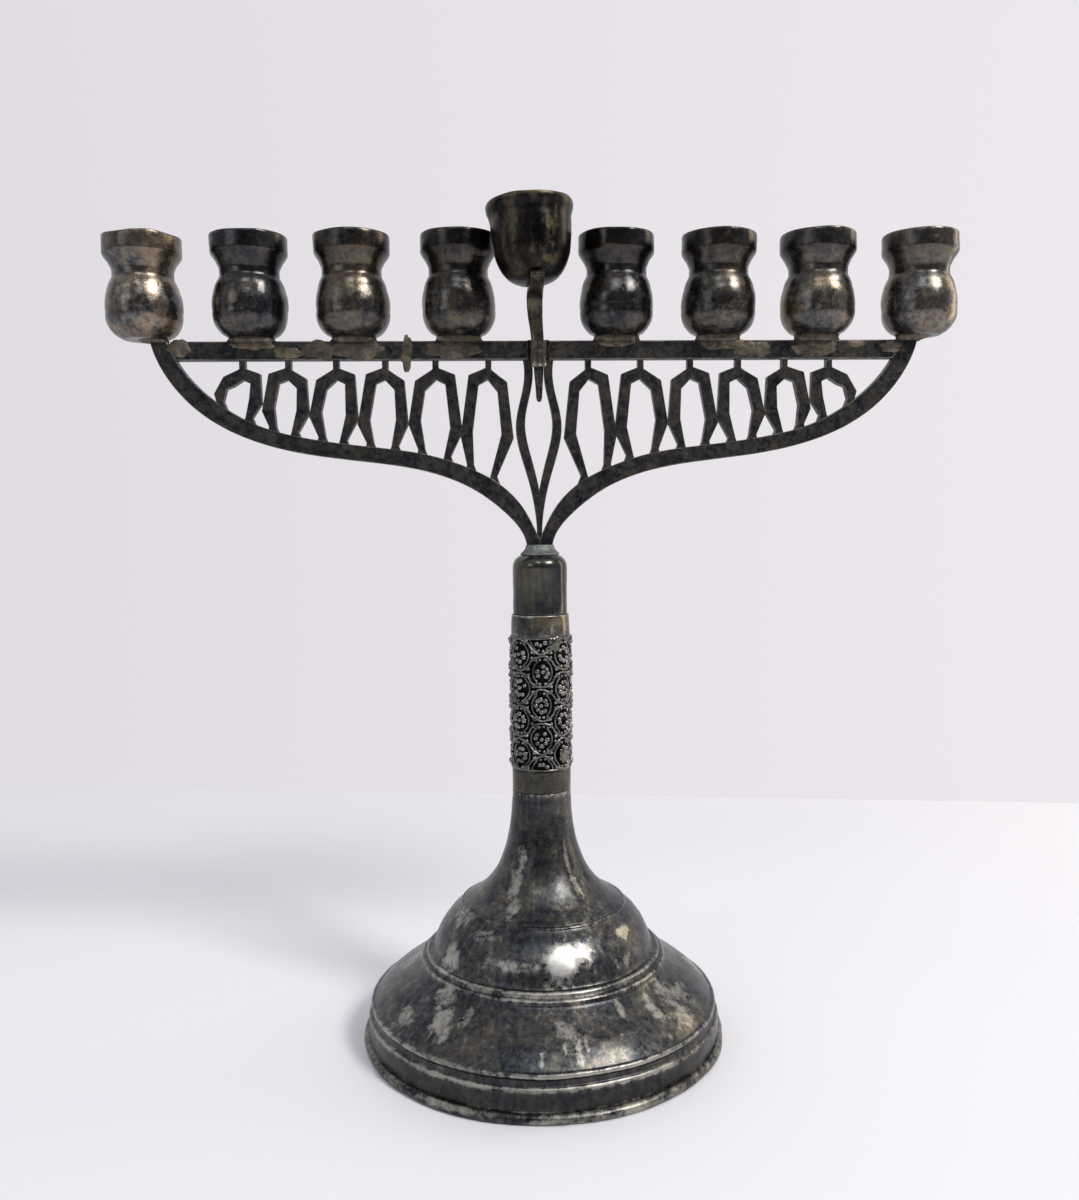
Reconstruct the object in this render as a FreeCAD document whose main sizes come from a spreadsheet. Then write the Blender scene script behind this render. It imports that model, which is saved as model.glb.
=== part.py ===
import FreeCAD, Part
import math
import os
import Sketcher
from FreeCAD import Placement, Rotation, Vector

# Nine-light lamp stand: a stepped, spun foot, a column with a filigree sleeve, a pierced frame with two
# bowed arms under a straight rail, eight cups on the rail and a ninth cup on a strip that lifts out of a
# socket in front. Millimetres. X runs along the rail, -Y is the front, Z is up, and the origin is the
# centre of the circle that the foot stands on.

SIZES = {
    # spun foot
    "wire_radius": 55.5, "wire_width": 3.6, "wire_height": 2.8,
    "band_radius": 53.4, "band_top": 9.0,
    "cove_top_radius": 52.4, "cove_top": 12.5, "cove_bend": 2.6,
    "apron_radius": 44.5, "apron_top": 19.3, "apron_bend": 24.0,
    "ring_radius": 37.4, "ring_base": 24.7, "ring_step": 1.4, "ring_bend": 1.2,
    "dome_radius": 33.7, "dome_base": 28.6, "dome_bend": 26.0,
    "shoulder_radius": 26.3, "shoulder_top": 40.3, "shoulder_drop": 0.9,
    "flare_radius": 24.4, "flare_base": 42.2, "flare_bend": 23.7,
    "throat_radius": 12.6, "throat_height": 54.8, "throat_bend": 56.0,
    "foot_top": 76.5, "foot_neck": 8.85, "spun_wall": 0.9,
    # column
    "collar_wall": 0.75, "sleeve_base": 83.5, "sleeve_top": 123.3, "sleeve_radius": 9.3, "sleeve_wall": 1.1,
    "core_radius": 7.95, "core_wall": 0.8, "core_base": 77.5, "core_top": 129.8,
    "upper_collar_radius": 8.5, "cap_base": 129.8, "cap_radius": 8.1, "cap_waist": 7.9, "cap_shoulder": 144.0,
    "cap_bend": 3.6, "cap_mouth": 5.4, "cap_top": 147.4, "ferrule_radius": 5.7, "neck_radius": 3.9,
    "neck_height": 150.3, "neck_bend": 3.4,
    # tie rod and its fixings
    "rod_radius": 2.0, "rod_base": 34.0, "rod_top": 147.0, "rod_gap": 0.15, "bush_height": 3.0,
    "plate_radius": 17.92, "plate_height": 43.6, "plate_thick": 1.6, "nut_across": 7.0, "nut_thick": 3.2,
    # frame
    "rail_base": 204.3, "rail_height": 5.5, "rail_half": 110.0, "frame_thick": 3.0, "fret_thick": 2.6,
    # cups on the rail
    "cup_pitch": 30.0, "cup_first": 22.75, "seat_height": 1.2, "seat_radius": 6.4, "cup_foot": 5.9,
    "bulb_radius": 10.6, "bulb_height": 9.0, "bulb_low_bend": 8.0, "bulb_high_bend": 12.5,
    "cup_waist_radius": 9.15, "cup_waist": 17.2, "waist_bend": 5.0, "cup_throat_radius": 9.2,
    "cup_throat": 20.6, "cup_lip_radius": 10.9, "cup_lip_base": 23.8, "cup_height": 28.8, "cup_wall": 0.8,
    # shamash light
    "lamp_left": 1.4, "lamp_front": 12.9, "lamp_base": 223.0, "lamp_lean_left": 3.0, "lamp_lean_back": 5.0,
    "lamp_floor": 3.6, "lamp_low_radius": 9.2, "lamp_low": 4.0, "lamp_low_bend": 7.5, "lamp_mid_radius": 10.75,
    "lamp_mid": 8.6, "lamp_mid_bend": 14.0, "lamp_neck_radius": 11.35, "lamp_neck": 16.6, "lamp_lip_radius": 12.35,
    "lamp_lip": 19.8, "lamp_lip_bend": 5.0, "lamp_height": 21.8,
    "strip_width": 3.9, "strip_thick": 1.2, "tongue_width": 3.1, "tip_height": 191.9,
    "socket_width": 4.4, "socket_wall": 0.4, "socket_base": 201.8, "socket_top": 209.2, "socket_gap": 0.25,
    "back_plate_width": 6.8, "back_plate_thick": 0.6,
}

# The lower and upper edges of the right arm, from the neck to the end cup: distance from the axis, height.
ARM_LOWER = [(3.8, 147.5), (4.3, 152.2), (10.2, 160.0), (19.5, 166.9), (32.0, 171.9), (48.0, 174.8),
             (66.0, 177.1), (84.5, 181.8), (98.5, 189.6), (107.0, 198.8), (111.3, 207.5), (112.4, 213.0)]
ARM_UPPER = [(-0.9, 147.5), (0.0, 151.4), (2.2, 156.8), (6.0, 163.0), (12.4, 168.9), (20.0, 172.9),
             (30.0, 176.4), (41.0, 178.5), (53.0, 179.9), (67.0, 181.9), (82.0, 185.9), (92.5, 191.7),
             (101.0, 199.3), (106.2, 207.5), (108.0, 213.0)]

# One half of the pierced panel: flames with open feet, each hung from the rail by a peg. A flame is the
# distance of its tip from the axis, then its inner and its outer blade. A blade is (shoulder, its depth
# below the tip, knee, foot, the knee's height as a share of the blade's): the first, third and fourth are
# distances from the axis.
FLAMES = [
    (14.6, (10.6, 5.4, 9.6, 13.4, 0.44), (19.0, 3.4, 20.8, 20.2, 0.36)),
    (30.0, (25.8, 3.2, 24.6, 26.9, 0.34), (34.6, 5.0, 36.0, 34.4, 0.42)),
    (44.6, (40.6, 4.8, 40.4, 42.2, 0.38), (48.8, 3.0, 50.8, 49.4, 0.32)),
    (58.8, (54.9, 3.0, 55.0, 57.2, 0.36), (63.2, 4.6, 64.8, 63.4, 0.42)),
    (72.6, (68.9, 4.2, 69.2, 71.2, 0.40), (76.9, 2.8, 78.4, 77.6, 0.36)),
    (85.8, (82.2, 2.8, 82.8, 84.4, 0.40), (89.9, 3.6, 92.0, 92.6, 0.44)),
]
PEG_WIDTH, PEG_DEPTH, TIP_THICK = 1.8, 1.7, 3.6
BLADE_TOP, BLADE_KNEE, BLADE_FOOT = 2.9, 4.4, 2.1
FLAME_TOP, FLAME_HALF, FLAME_WIDE, FLAME_ROOT = 3.4, 5.6, 186.0, 163.5


class Size:
    """A length in millimetres, with the expression that binds it to the sheet."""

    def __init__(self, value, text):
        self.value = float(value)
        self.text = text

    def __add__(self, other):
        other = size_of(other)
        return Size(self.value + other.value, f"({self.text} + {other.text})")

    def __sub__(self, other):
        other = size_of(other)
        return Size(self.value - other.value, f"({self.text} - {other.text})")

    def __mul__(self, number):
        return Size(self.value * number, f"({self.text} * {number:g})")

    def __neg__(self):
        return Size(-self.value, f"(0 - {self.text})")


def size_of(thing):
    """A plain number as a Size."""
    return thing if isinstance(thing, Size) else Size(thing, f"{thing:g}")


class Sheet:
    """Reads a cell of the spreadsheet as a Size: sheet.foot_top."""

    def __getattr__(self, alias):
        return Size(cells.get(alias), f"sizes.{alias}")


doc = FreeCAD.newDocument("lamp_stand")
cells = doc.addObject("Spreadsheet::Sheet", "sizes")
for row, (alias, value) in enumerate(SIZES.items(), 1):
    cells.set(f"A{row}", alias)
    cells.set(f"B{row}", str(value))
    cells.setAlias(f"B{row}", alias)
doc.recompute()
s = Sheet()
sub_parts = []


def keep(thing, label):
    """Names a finished sub-part."""
    thing.Label = label
    sub_parts.append(thing)
    return thing


def place_by(thing, **offsets):
    """Binds the x, y or z of an object's Placement to the sheet."""
    for axis, size in offsets.items():
        thing.setExpression(f".Placement.Base.{axis}", size_of(size).text)


def arc_middle(start, end, bend):
    """The middle of the shorter arc from start to end. Its centre is on the left if bend is positive."""
    chord = end - start
    radius = abs(bend)
    rise = radius - math.sqrt(radius**2 - chord.Length**2 / 4)
    right = Vector(chord.y, -chord.x, 0).normalize()
    return (start + end) / 2 + right * rise * math.copysign(1, bend)


def fix_point(sketch, edge, end, across, up):
    """Ties a point of a sketch to its distances from the sketch's axes."""
    for kind, size, axis in (("DistanceX", across, -2), ("DistanceY", up, -1)):
        if size.value == 0:
            sketch.addConstraint(Sketcher.Constraint("PointOnObject", edge, end, axis))
            continue
        number = sketch.addConstraint(Sketcher.Constraint(kind, -1, 1, edge, end, size.value))
        sketch.setExpression(f"Constraints[{number}]", size.text)


def outline(body, name, corners, plane="XZ_Plane"):
    """A closed sketch. A corner is (across, up) or (across, up, bend): bend is the radius of the arc that
    leads from it to the next corner, turning left if positive."""
    sketch = body.newObject("Sketcher::SketchObject", name)
    origin_plane = [part for part in body.Origin.OriginFeatures if part.Role == plane][0]
    sketch.AttachmentSupport = [(origin_plane, "")]
    sketch.MapMode = "FlatFace"
    corners = [tuple(size_of(entry) for entry in corner) for corner in corners]
    ends = []
    for corner, following in zip(corners, corners[1:] + corners[:1]):
        start = Vector(corner[0].value, corner[1].value, 0)
        end = Vector(following[0].value, following[1].value, 0)
        if len(corner) == 3:
            edge = sketch.addGeometry(Part.Arc(start, arc_middle(start, end, corner[2].value), end))
            first = 1 if sketch.getPoint(edge, 1).distanceToPoint(start) < 1e-6 else 2
        else:
            edge = sketch.addGeometry(Part.LineSegment(start, end))
            first = 1
        ends.append((edge, first, 3 - first))
    for (edge, _, last), (following, first, _) in zip(ends, ends[1:] + ends[:1]):
        sketch.addConstraint(Sketcher.Constraint("Coincident", edge, last, following, first))
    for (edge, first, _), corner in zip(ends, corners):
        fix_point(sketch, edge, first, corner[0], corner[1])
        if len(corner) == 3:
            radius = corner[2] if corner[2].value > 0 else -corner[2]
            number = sketch.addConstraint(Sketcher.Constraint("Radius", edge, radius.value))
            sketch.setExpression(f"Constraints[{number}]", radius.text)
    return sketch


def turned(label, corners, sub_part=True):
    """A solid turned about its own Z axis, from half of its section: (radius, height[, bend])."""
    body = doc.addObject("PartDesign::Body", label)
    section = outline(body, f"{label}_section", corners)
    turn = body.newObject("PartDesign::Revolution", f"{label}_turn")
    turn.Profile = section
    turn.ReferenceAxis = (section, ["V_Axis"])
    turn.Angle = 360
    return keep(body, label) if sub_part else body


def ring(label, outer, inner, base, top):
    """A plain turned tube or washer."""
    return turned(label, [(inner, base), (outer, base), (outer, top), (inner, top)])


def padded(label, corners, thickness, plane="XZ_Plane"):
    """A body padded evenly to both sides of one of its origin planes."""
    body = doc.addObject("PartDesign::Body", label)
    face = outline(body, f"{label}_face", corners, plane)
    pad = body.newObject("PartDesign::Pad", f"{label}_pad")
    pad.Profile = face
    pad.Midplane = True
    pad.setExpression("Length", size_of(thickness).text)
    return body


def build_foot():
    """The ring of wire that the foot stands on and the hollow spun foot."""
    half = s.wire_height * 0.5
    inside = s.wire_radius - s.wire_width
    turned("foot_rim_wire", [
        (inside, 0), (s.wire_radius - half, 0, half * 1.06), (s.wire_radius - half, s.wire_height),
        (inside, s.wire_height)])
    wall = s.spun_wall
    low_ring = s.ring_radius - s.ring_step
    turned("foot_shell", [
        (s.band_radius - wall, s.wire_height), (s.band_radius, s.wire_height),
        (s.band_radius, s.band_top, -s.cove_bend), (s.cove_top_radius, s.cove_top, s.apron_bend),
        (s.apron_radius, s.apron_top), (s.ring_radius, s.ring_base, s.ring_bend),
        (low_ring, s.ring_base + s.ring_step * 1.15, s.ring_bend * 1.5),
        (s.dome_radius, s.dome_base, s.dome_bend), (s.shoulder_radius, s.shoulder_top),
        (s.shoulder_radius - s.shoulder_drop, s.shoulder_top + 0.35),
        (s.flare_radius, s.flare_base, -s.flare_bend),
        (s.throat_radius, s.throat_height, -s.throat_bend), (s.foot_neck, s.foot_top),
        (s.foot_neck - wall, s.foot_top, s.throat_bend + wall),
        (s.throat_radius - wall, s.throat_height - wall * 0.4, s.flare_bend + wall),
        (s.flare_radius - wall * 1.2, s.flare_base - wall * 0.9),
        (s.shoulder_radius - wall * 1.3, s.shoulder_top - wall * 0.7, -(s.dome_bend - wall)),
        (s.dome_radius - wall * 1.3, s.dome_base - wall * 0.9),
        (s.apron_radius - wall * 0.7, s.apron_top - wall, -(s.apron_bend - wall)),
        (s.cove_top_radius - wall * 1.6, s.cove_top - wall * 0.4), (s.band_radius - wall, s.band_top)])


def build_column():
    """The tubes of the column, with the hidden core tube that lines them up."""
    collar_bore = s.foot_neck - s.collar_wall
    ring("lower_collar", s.foot_neck, collar_bore, s.foot_top, s.sleeve_base)
    ring("core_tube", s.core_radius, s.core_radius - s.core_wall, s.core_base, s.core_top)
    ring("upper_collar", s.upper_collar_radius, collar_bore, s.sleeve_top, s.cap_base)
    wall = s.collar_wall
    waist = (s.cap_base + s.cap_shoulder) * 0.5
    turned("cap_tube", [
        (s.cap_radius - wall, s.cap_base), (s.cap_radius, s.cap_base), (s.cap_waist, waist),
        (s.cap_radius, s.cap_shoulder, s.cap_bend), (s.cap_mouth, s.cap_top),
        (s.cap_mouth, s.cap_top - wall), (s.cap_radius - wall, s.cap_shoulder - wall * 0.5),
        (s.cap_waist - wall, waist)])
    turned("neck_ferrule", [
        (s.rod_radius, s.cap_shoulder - 1.5), (s.cap_mouth - 0.3, s.cap_shoulder - 1.5),
        (s.cap_mouth - 0.3, s.cap_top), (s.ferrule_radius, s.cap_top),
        (s.ferrule_radius, s.cap_top + 0.6, -s.neck_bend), (s.neck_radius, s.neck_height),
        (0, s.neck_height), (0, s.rod_top), (s.rod_radius, s.rod_top)])


def build_tie_rod():
    """What holds the column together: a rod from the ferrule, two bushes, a plate in the foot and a nut."""
    turned("tie_rod", [(0, s.rod_base), (s.rod_radius, s.rod_base), (s.rod_radius, s.rod_top), (0, s.rod_top)])
    bore = s.rod_radius + s.rod_gap
    fit = s.core_radius - s.core_wall
    low, high = s.core_base - s.bush_height, s.core_base + s.bush_height
    flange = s.foot_neck - s.spun_wall - 0.05
    turned("lower_bush", [
        (bore, low), (flange, low), (flange, s.core_base), (fit, s.core_base), (fit, high), (bore, high)])
    ring("upper_bush", fit, bore, s.core_top - s.bush_height, s.core_top)
    ring("clamp_plate", s.plate_radius, bore, s.plate_height, s.plate_height + s.plate_thick)
    corner = s.nut_across * (1 / math.sqrt(3))
    half = s.nut_across * 0.5
    body = doc.addObject("PartDesign::Body", "clamp_nut")
    face = outline(body, "clamp_nut_face", [
        (corner, 0), (corner * 0.5, half), (-corner * 0.5, half), (-corner, 0), (-corner * 0.5, -half),
        (corner * 0.5, -half)], "XY_Plane")
    hole = face.addGeometry(Part.Circle(Vector(0, 0, 0), Vector(0, 0, 1), s.rod_radius.value))
    face.addConstraint(Sketcher.Constraint("Coincident", hole, 3, -1, 1))
    number = face.addConstraint(Sketcher.Constraint("Radius", hole, s.rod_radius.value))
    face.setExpression(f"Constraints[{number}]", s.rod_radius.text)
    pad = body.newObject("PartDesign::Pad", "clamp_nut_pad")
    pad.Profile = face
    pad.setExpression("Length", s.nut_thick.text)
    place_by(body, z=s.plate_height - s.nut_thick)
    keep(body, "clamp_nut")


def build_filigree():
    """The sleeve round the core tube: rows of round windows, staggered, between plain edges."""
    height = (s.sleeve_top - s.sleeve_base).value
    sleeve = Part.makeCylinder(s.sleeve_radius.value, height)
    sleeve = sleeve.cut(Part.makeCylinder((s.sleeve_radius - s.sleeve_wall).value, height))
    rows, around = 7, 10
    pitch = height / rows
    window = 0.36 * pitch
    drills = []
    for row in range(rows):
        for place in range(around):
            turn = 360 / around * (place + row % 2 / 2)
            drill = Part.makeCylinder(window, 2 * s.sleeve_wall.value + 2, Vector(0, 0, 0), Vector(1, 0, 0))
            drill.translate(Vector(s.sleeve_radius.value - s.sleeve_wall.value - 1.2, 0, pitch * (row + 0.5)))
            drill.rotate(Vector(0, 0, 0), Vector(0, 0, 1), turn)
            drills.append(drill)
    feature = doc.addObject("Part::Feature", "filigree_sleeve")
    feature.Shape = sleeve.cut(drills)
    place_by(feature, z=s.sleeve_base)
    keep(feature, "filigree_sleeve")


def upright(points):
    """Points (x, z) in the plane of the frame."""
    return [Vector(x, 0, z) for x, z in points]


def slab(edges, thickness):
    """A flat piece of the frame, even to both sides of its plane, from the edges of its outline."""
    face = Part.Face(Part.Wire(edges))
    face.translate(Vector(0, -thickness / 2, 0))
    return face.extrude(Vector(0, thickness, 0))


def polygon_slab(points, thickness):
    """A flat piece of the frame with straight sides."""
    corners = upright(points)
    edges = [Part.LineSegment(a, b).toShape() for a, b in zip(corners, corners[1:] + corners[:1])]
    return slab(edges, thickness)


def curve(points):
    """A smooth curve through points (x, z)."""
    line = Part.BSplineCurve()
    line.interpolate(upright(points))
    return line


def arm_solid():
    """The right arm, cut off at the plane between the arms, at the neck and level with the rail."""
    ends = [Part.LineSegment(*upright([ARM_UPPER[-1], ARM_LOWER[-1]])).toShape(),
            Part.LineSegment(*upright([ARM_LOWER[0], ARM_UPPER[0]])).toShape()]
    edges = [curve(ARM_UPPER).toShape(), ends[0], curve(ARM_LOWER).toShape(), ends[1]]
    blank = slab(edges, s.frame_thick.value)
    top = (s.rail_base + s.rail_height).value
    room = Part.makeBox(200, 20, top - s.neck_height.value, Vector(0, -10, s.neck_height.value))
    return blank.common(room)


def mirrored(shape):
    """The same shape on the other side of the axis."""
    return shape.mirror(Vector(0, 0, 0), Vector(1, 0, 0))


def height_on_arm(distance):
    """The height of the arm's upper edge at a distance from the axis."""
    edge = curve(ARM_UPPER)
    upright_line = Part.LineSegment(*upright([(distance, 140), (distance, 220)]))
    return edge.intersect(upright_line)[0].Z


def blade_points(tip, tip_height, blade, side):
    """The outline of one blade, from the tip of its flame to its foot on the arm and back."""
    shoulder, drop, knee, foot, share = blade
    ground = height_on_arm(foot)
    top = tip_height - drop
    bend = ground + (top - ground) * share
    into = 1.6
    return [
        (tip - side * 0.5, tip_height), (shoulder + side * BLADE_TOP / 2, top + 0.8),
        (knee + side * BLADE_KNEE / 2, bend), (foot + side * BLADE_FOOT / 2, ground + 1.0),
        (foot + side * (BLADE_FOOT / 2 + 1), ground - into), (foot - side * (BLADE_FOOT / 2 + 1), ground - into),
        (foot - side * BLADE_FOOT / 2, ground + 1.0), (knee - side * BLADE_KNEE * 0.32, bend + 1.2),
        (shoulder - side * BLADE_TOP / 2, top - 2.0), (tip - side * 0.5, tip_height - TIP_THICK)]


def flame_pair(tip, inner, outer):
    """One flame with its peg, still standing a little into the rail and the arm."""
    thickness = s.fret_thick.value
    rail = s.rail_base.value
    tip_height = rail - PEG_DEPTH
    half = PEG_WIDTH / 2
    peg = polygon_slab([(tip - half, tip_height - 1.2), (tip + half, tip_height - 1.2),
                        (tip + half, rail + 1), (tip - half, rail + 1)], thickness)
    blades = [polygon_slab(blade_points(tip, tip_height, blade, side), thickness)
              for blade, side in ((inner, -1), (outer, 1))]
    return peg.multiFuse(blades).removeSplitter()


def flame_solid():
    """The open flame in the middle of the panel, on a stem that stands between the arms."""
    thickness = s.fret_thick.value
    top, wide = s.rail_base.value + 1, FLAME_WIDE
    outer = [(0.9, FLAME_ROOT - 13.0), (1.3, FLAME_ROOT - 3.0), (FLAME_HALF * 0.62, FLAME_ROOT + 7.0),
             (FLAME_HALF + 1.1, wide), (FLAME_TOP + 1.0, top - 8.0), (FLAME_TOP + 1.3, top)]
    inner = [(0.0, FLAME_ROOT + 3.0), (FLAME_HALF * 0.40, wide - 10.0), (FLAME_HALF - 1.6, wide),
             (FLAME_TOP - 1.5, top - 8.0), (FLAME_TOP - 1.2, top)]
    right, hollow = curve(outer).toShape(), curve(inner).toShape()
    foot = Part.LineSegment(*upright([(-outer[0][0], outer[0][1]), outer[0]])).toShape()
    head = Part.LineSegment(*upright([outer[-1], (-outer[-1][0], outer[-1][1])])).toShape()
    body = slab([right, head, mirrored(right), foot], thickness)
    roof = Part.LineSegment(*upright([inner[-1], (-inner[-1][0], inner[-1][1])])).toShape()
    return body.cut(slab([hollow, roof, mirrored(hollow)], thickness + 2))


def build_frame():
    """The rail, the two arms and the pierced panel between them, each trimmed to meet its neighbours."""
    arms = {"right_arm": arm_solid()}
    arms["left_arm"] = mirrored(arms["right_arm"])
    features = {}
    for label, shape in arms.items():
        features[label] = doc.addObject("Part::Feature", label)
        features[label].Shape = shape
        keep(features[label], label)
    blank = doc.addObject("Part::Box", "rail_blank")
    blank.setExpression("Length", (s.rail_half * 2).text)
    blank.setExpression("Width", s.frame_thick.text)
    blank.setExpression("Height", s.rail_height.text)
    place_by(blank, x=-s.rail_half, y=-(s.frame_thick * 0.5), z=s.rail_base)
    ends = doc.addObject("Part::Feature", "rail_ends")
    beyond = Part.makeBox(30, 20, 20, Vector(ARM_UPPER[-2][0], -10, s.rail_base.value - 5))
    arm_end = arms["right_arm"].fuse(beyond)
    ends.Shape = Part.makeCompound([arm_end, mirrored(arm_end)])
    rail = doc.addObject("Part::Cut", "top_rail")
    rail.Base, rail.Tool = blank, ends
    keep(rail, "top_rail")
    box = Part.makeBox(300, 20, 40, Vector(-150, -10, s.rail_base.value))
    trims = [box, *arms.values()]
    halves = [flame_pair(*flame).cut(trims) for flame in FLAMES]
    groups = {"fretwork_right": halves, "fretwork_left": [mirrored(half) for half in halves],
              "fretwork_flame": [flame_solid().cut(trims)]}
    for label, shapes in groups.items():
        feature = doc.addObject("Part::Feature", label)
        solids = [solid for shape in shapes for solid in shape.Solids]
        feature.Shape = Part.makeCompound([solid for solid in solids if solid.Volume > 2])
        keep(feature, label)


def cup_section():
    """Half of a cup's section, from its floor: foot, bulb, waist and a straight lip."""
    wall = s.cup_wall
    return [
        (0, 0), (s.cup_foot, 0, s.bulb_low_bend), (s.bulb_radius, s.bulb_height, s.bulb_high_bend),
        (s.cup_waist_radius, s.cup_waist, -s.waist_bend), (s.cup_throat_radius, s.cup_throat),
        (s.cup_lip_radius, s.cup_lip_base), (s.cup_lip_radius, s.cup_height),
        (s.cup_lip_radius - wall, s.cup_height), (s.cup_lip_radius - wall, s.cup_lip_base + wall * 0.4),
        (s.cup_throat_radius - wall, s.cup_throat + wall * 0.3, s.waist_bend + wall),
        (s.cup_waist_radius - wall, s.cup_waist - wall * 0.2, -(s.bulb_high_bend - wall)),
        (s.bulb_radius - wall, s.bulb_height, -(s.bulb_low_bend - wall)),
        (s.cup_foot - wall * 0.3, wall), (0, wall)]


def build_cups():
    """Eight cups on the rail, each on a soldered seat, numbered from the left."""
    per_side = 4
    top = s.rail_base + s.rail_height
    for number in range(1, 2 * per_side + 1):
        step = number - per_side - 1 if number > per_side else per_side - number
        across = s.cup_first + s.cup_pitch * step
        if number <= per_side:
            across = -across
        seat = turned(f"cup_seat_{number}", [
            (0, 0), (s.seat_radius, 0), (s.cup_foot, s.seat_height), (0, s.seat_height)])
        place_by(seat, x=across, z=top)
        cup = turned(f"candle_cup_{number}", cup_section())
        place_by(cup, x=across, z=top + s.seat_height)


def lamp_section(filled=False):
    """Half of the ninth cup's section: a round-bottomed bell with a flared lip."""
    wall = s.cup_wall
    outside = [
        (0, 0), (s.lamp_floor, 0, s.lamp_low_bend), (s.lamp_low_radius, s.lamp_low, s.lamp_mid_bend),
        (s.lamp_mid_radius, s.lamp_mid), (s.lamp_neck_radius, s.lamp_neck, -s.lamp_lip_bend),
        (s.lamp_lip_radius, s.lamp_lip), (s.lamp_lip_radius, s.lamp_height)]
    if filled:
        return outside + [(0, s.lamp_height)]
    return outside + [
        (s.lamp_lip_radius - wall, s.lamp_height), (s.lamp_lip_radius - wall, s.lamp_lip),
        (s.lamp_neck_radius - wall, s.lamp_neck), (s.lamp_mid_radius - wall, s.lamp_mid, -(s.lamp_mid_bend - wall)),
        (s.lamp_low_radius - wall, s.lamp_low + wall * 0.4, -(s.lamp_low_bend - wall)),
        (s.lamp_floor, wall), (0, wall)]


def lean(body):
    """Stands the ninth cup where its strip holds it, leaning a little to the left and back."""
    body.Placement.Rotation = Rotation(Vector(0, 1, 0), -s.lamp_lean_left.value).multiply(
        Rotation(Vector(1, 0, 0), -s.lamp_lean_back.value))
    place_by(body, x=-s.lamp_left, y=-s.lamp_front, z=s.lamp_base)


def strip_side():
    """The bent strip seen from its side, as (y, z): straight below, then forward under the cup and up."""
    back = -(s.frame_thick * 0.5 + s.back_plate_thick + s.socket_wall + s.socket_gap)
    front = back - s.strip_thick
    bow = s.lamp_base - 0.4
    return [
        (back, s.tip_height), (back, s.lamp_base - 4.5, 3.6), (back - 3.6, bow + 0.6),
        (-s.lamp_front - 4.0, bow + 0.6, 9.0), (-s.lamp_front - 7.6, bow + 3.6),
        (-s.lamp_front - 8.7, bow + 3.2, -10.2), (-s.lamp_front - 4.0, bow - 0.7),
        (back - 3.9, bow - 0.7, -2.6), (front, s.lamp_base - 4.5), (front, s.tip_height)]


def strip_front_view():
    """The strip seen from the front: a pointed tongue, shoulders above the socket and a slight bend."""
    half = s.strip_width * 0.5
    tongue = s.tongue_width * 0.5
    point = tongue * 0.3
    shoulder = s.socket_top + s.socket_gap
    return [
        (point, s.tip_height), (tongue * 0.78, s.socket_base - 1.0), (tongue, s.socket_base + 1.5),
        (tongue, shoulder), (half, shoulder), (half, s.socket_top + 3.0),
        (half - 0.9, s.lamp_base - 3.0), (half - 0.6, s.lamp_base + 6.0), (-half - 0.6, s.lamp_base + 6.0),
        (-half - 1.2, s.lamp_base - 3.0), (-half, s.socket_top + 3.0), (-half, shoulder),
        (-tongue, shoulder), (-tongue, s.socket_base + 1.5), (-tongue * 0.78, s.socket_base - 1.0),
        (-point, s.tip_height)]


def build_lamp():
    """The ninth cup, the strip that carries it, and the socket and back plate on the rail."""
    lean(turned("shamash_cup", lamp_section()))
    envelope = turned("shamash_envelope", lamp_section(filled=True), sub_part=False)
    lean(envelope)
    side = padded("strip_side", strip_side(), s.strip_width * 3, "YZ_Plane")
    front = padded("strip_face", strip_front_view(), s.lamp_front * 6)
    both = doc.addObject("Part::Common", "strip_blank")
    both.Base, both.Tool = side, front
    strip = doc.addObject("Part::Cut", "shamash_strip")
    strip.Base, strip.Tool = both, envelope
    keep(strip, "shamash_strip")
    half = s.socket_width * 0.5
    face = s.frame_thick * 0.5 + s.back_plate_thick
    depth = s.strip_thick + s.socket_gap * 2 + s.socket_wall * 2
    tall = s.socket_top - s.socket_base
    body = doc.addObject("PartDesign::Body", "shamash_socket")
    rim = outline(body, "shamash_socket_rim", [
        (-half, -(face + depth)), (half, -(face + depth)), (half, -face), (-half, -face)], "XY_Plane")
    wall = s.socket_wall
    pad = body.newObject("PartDesign::Pad", "shamash_socket_pad")
    pad.Profile = rim
    pad.setExpression("Length", tall.text)
    hole = outline(body, "shamash_socket_hole", [
        (-(half - wall), -(face + depth - wall)), (half - wall, -(face + depth - wall)),
        (half - wall, -(face + wall)), (-(half - wall), -(face + wall))], "XY_Plane")
    pocket = body.newObject("PartDesign::Pocket", "shamash_socket_bore")
    pocket.Profile = hole
    pocket.Reversed = True
    pocket.setExpression("Length", (tall * 2).text)
    place_by(body, z=s.socket_base)
    keep(body, "shamash_socket")
    wide = s.back_plate_width * 0.5
    tall = s.rail_height * 0.5
    corner = 1.4
    plate = padded("socket_back_plate", [
        (-wide, -(tall - corner)), (-wide, tall - corner, -corner), (-wide + corner, tall),
        (wide - corner, tall, -corner), (wide, tall - corner), (wide, -(tall - corner), -corner),
        (wide - corner, -tall), (-wide + corner, -tall, -corner)], s.back_plate_thick)
    place_by(plate, y=-(s.frame_thick * 0.5 + s.back_plate_thick * 0.5), z=s.rail_base + tall)
    keep(plate, "socket_back_plate")


build_foot()
build_column()
build_tie_rod()
build_filigree()
build_frame()
build_cups()
build_lamp()
doc.recompute()

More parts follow.
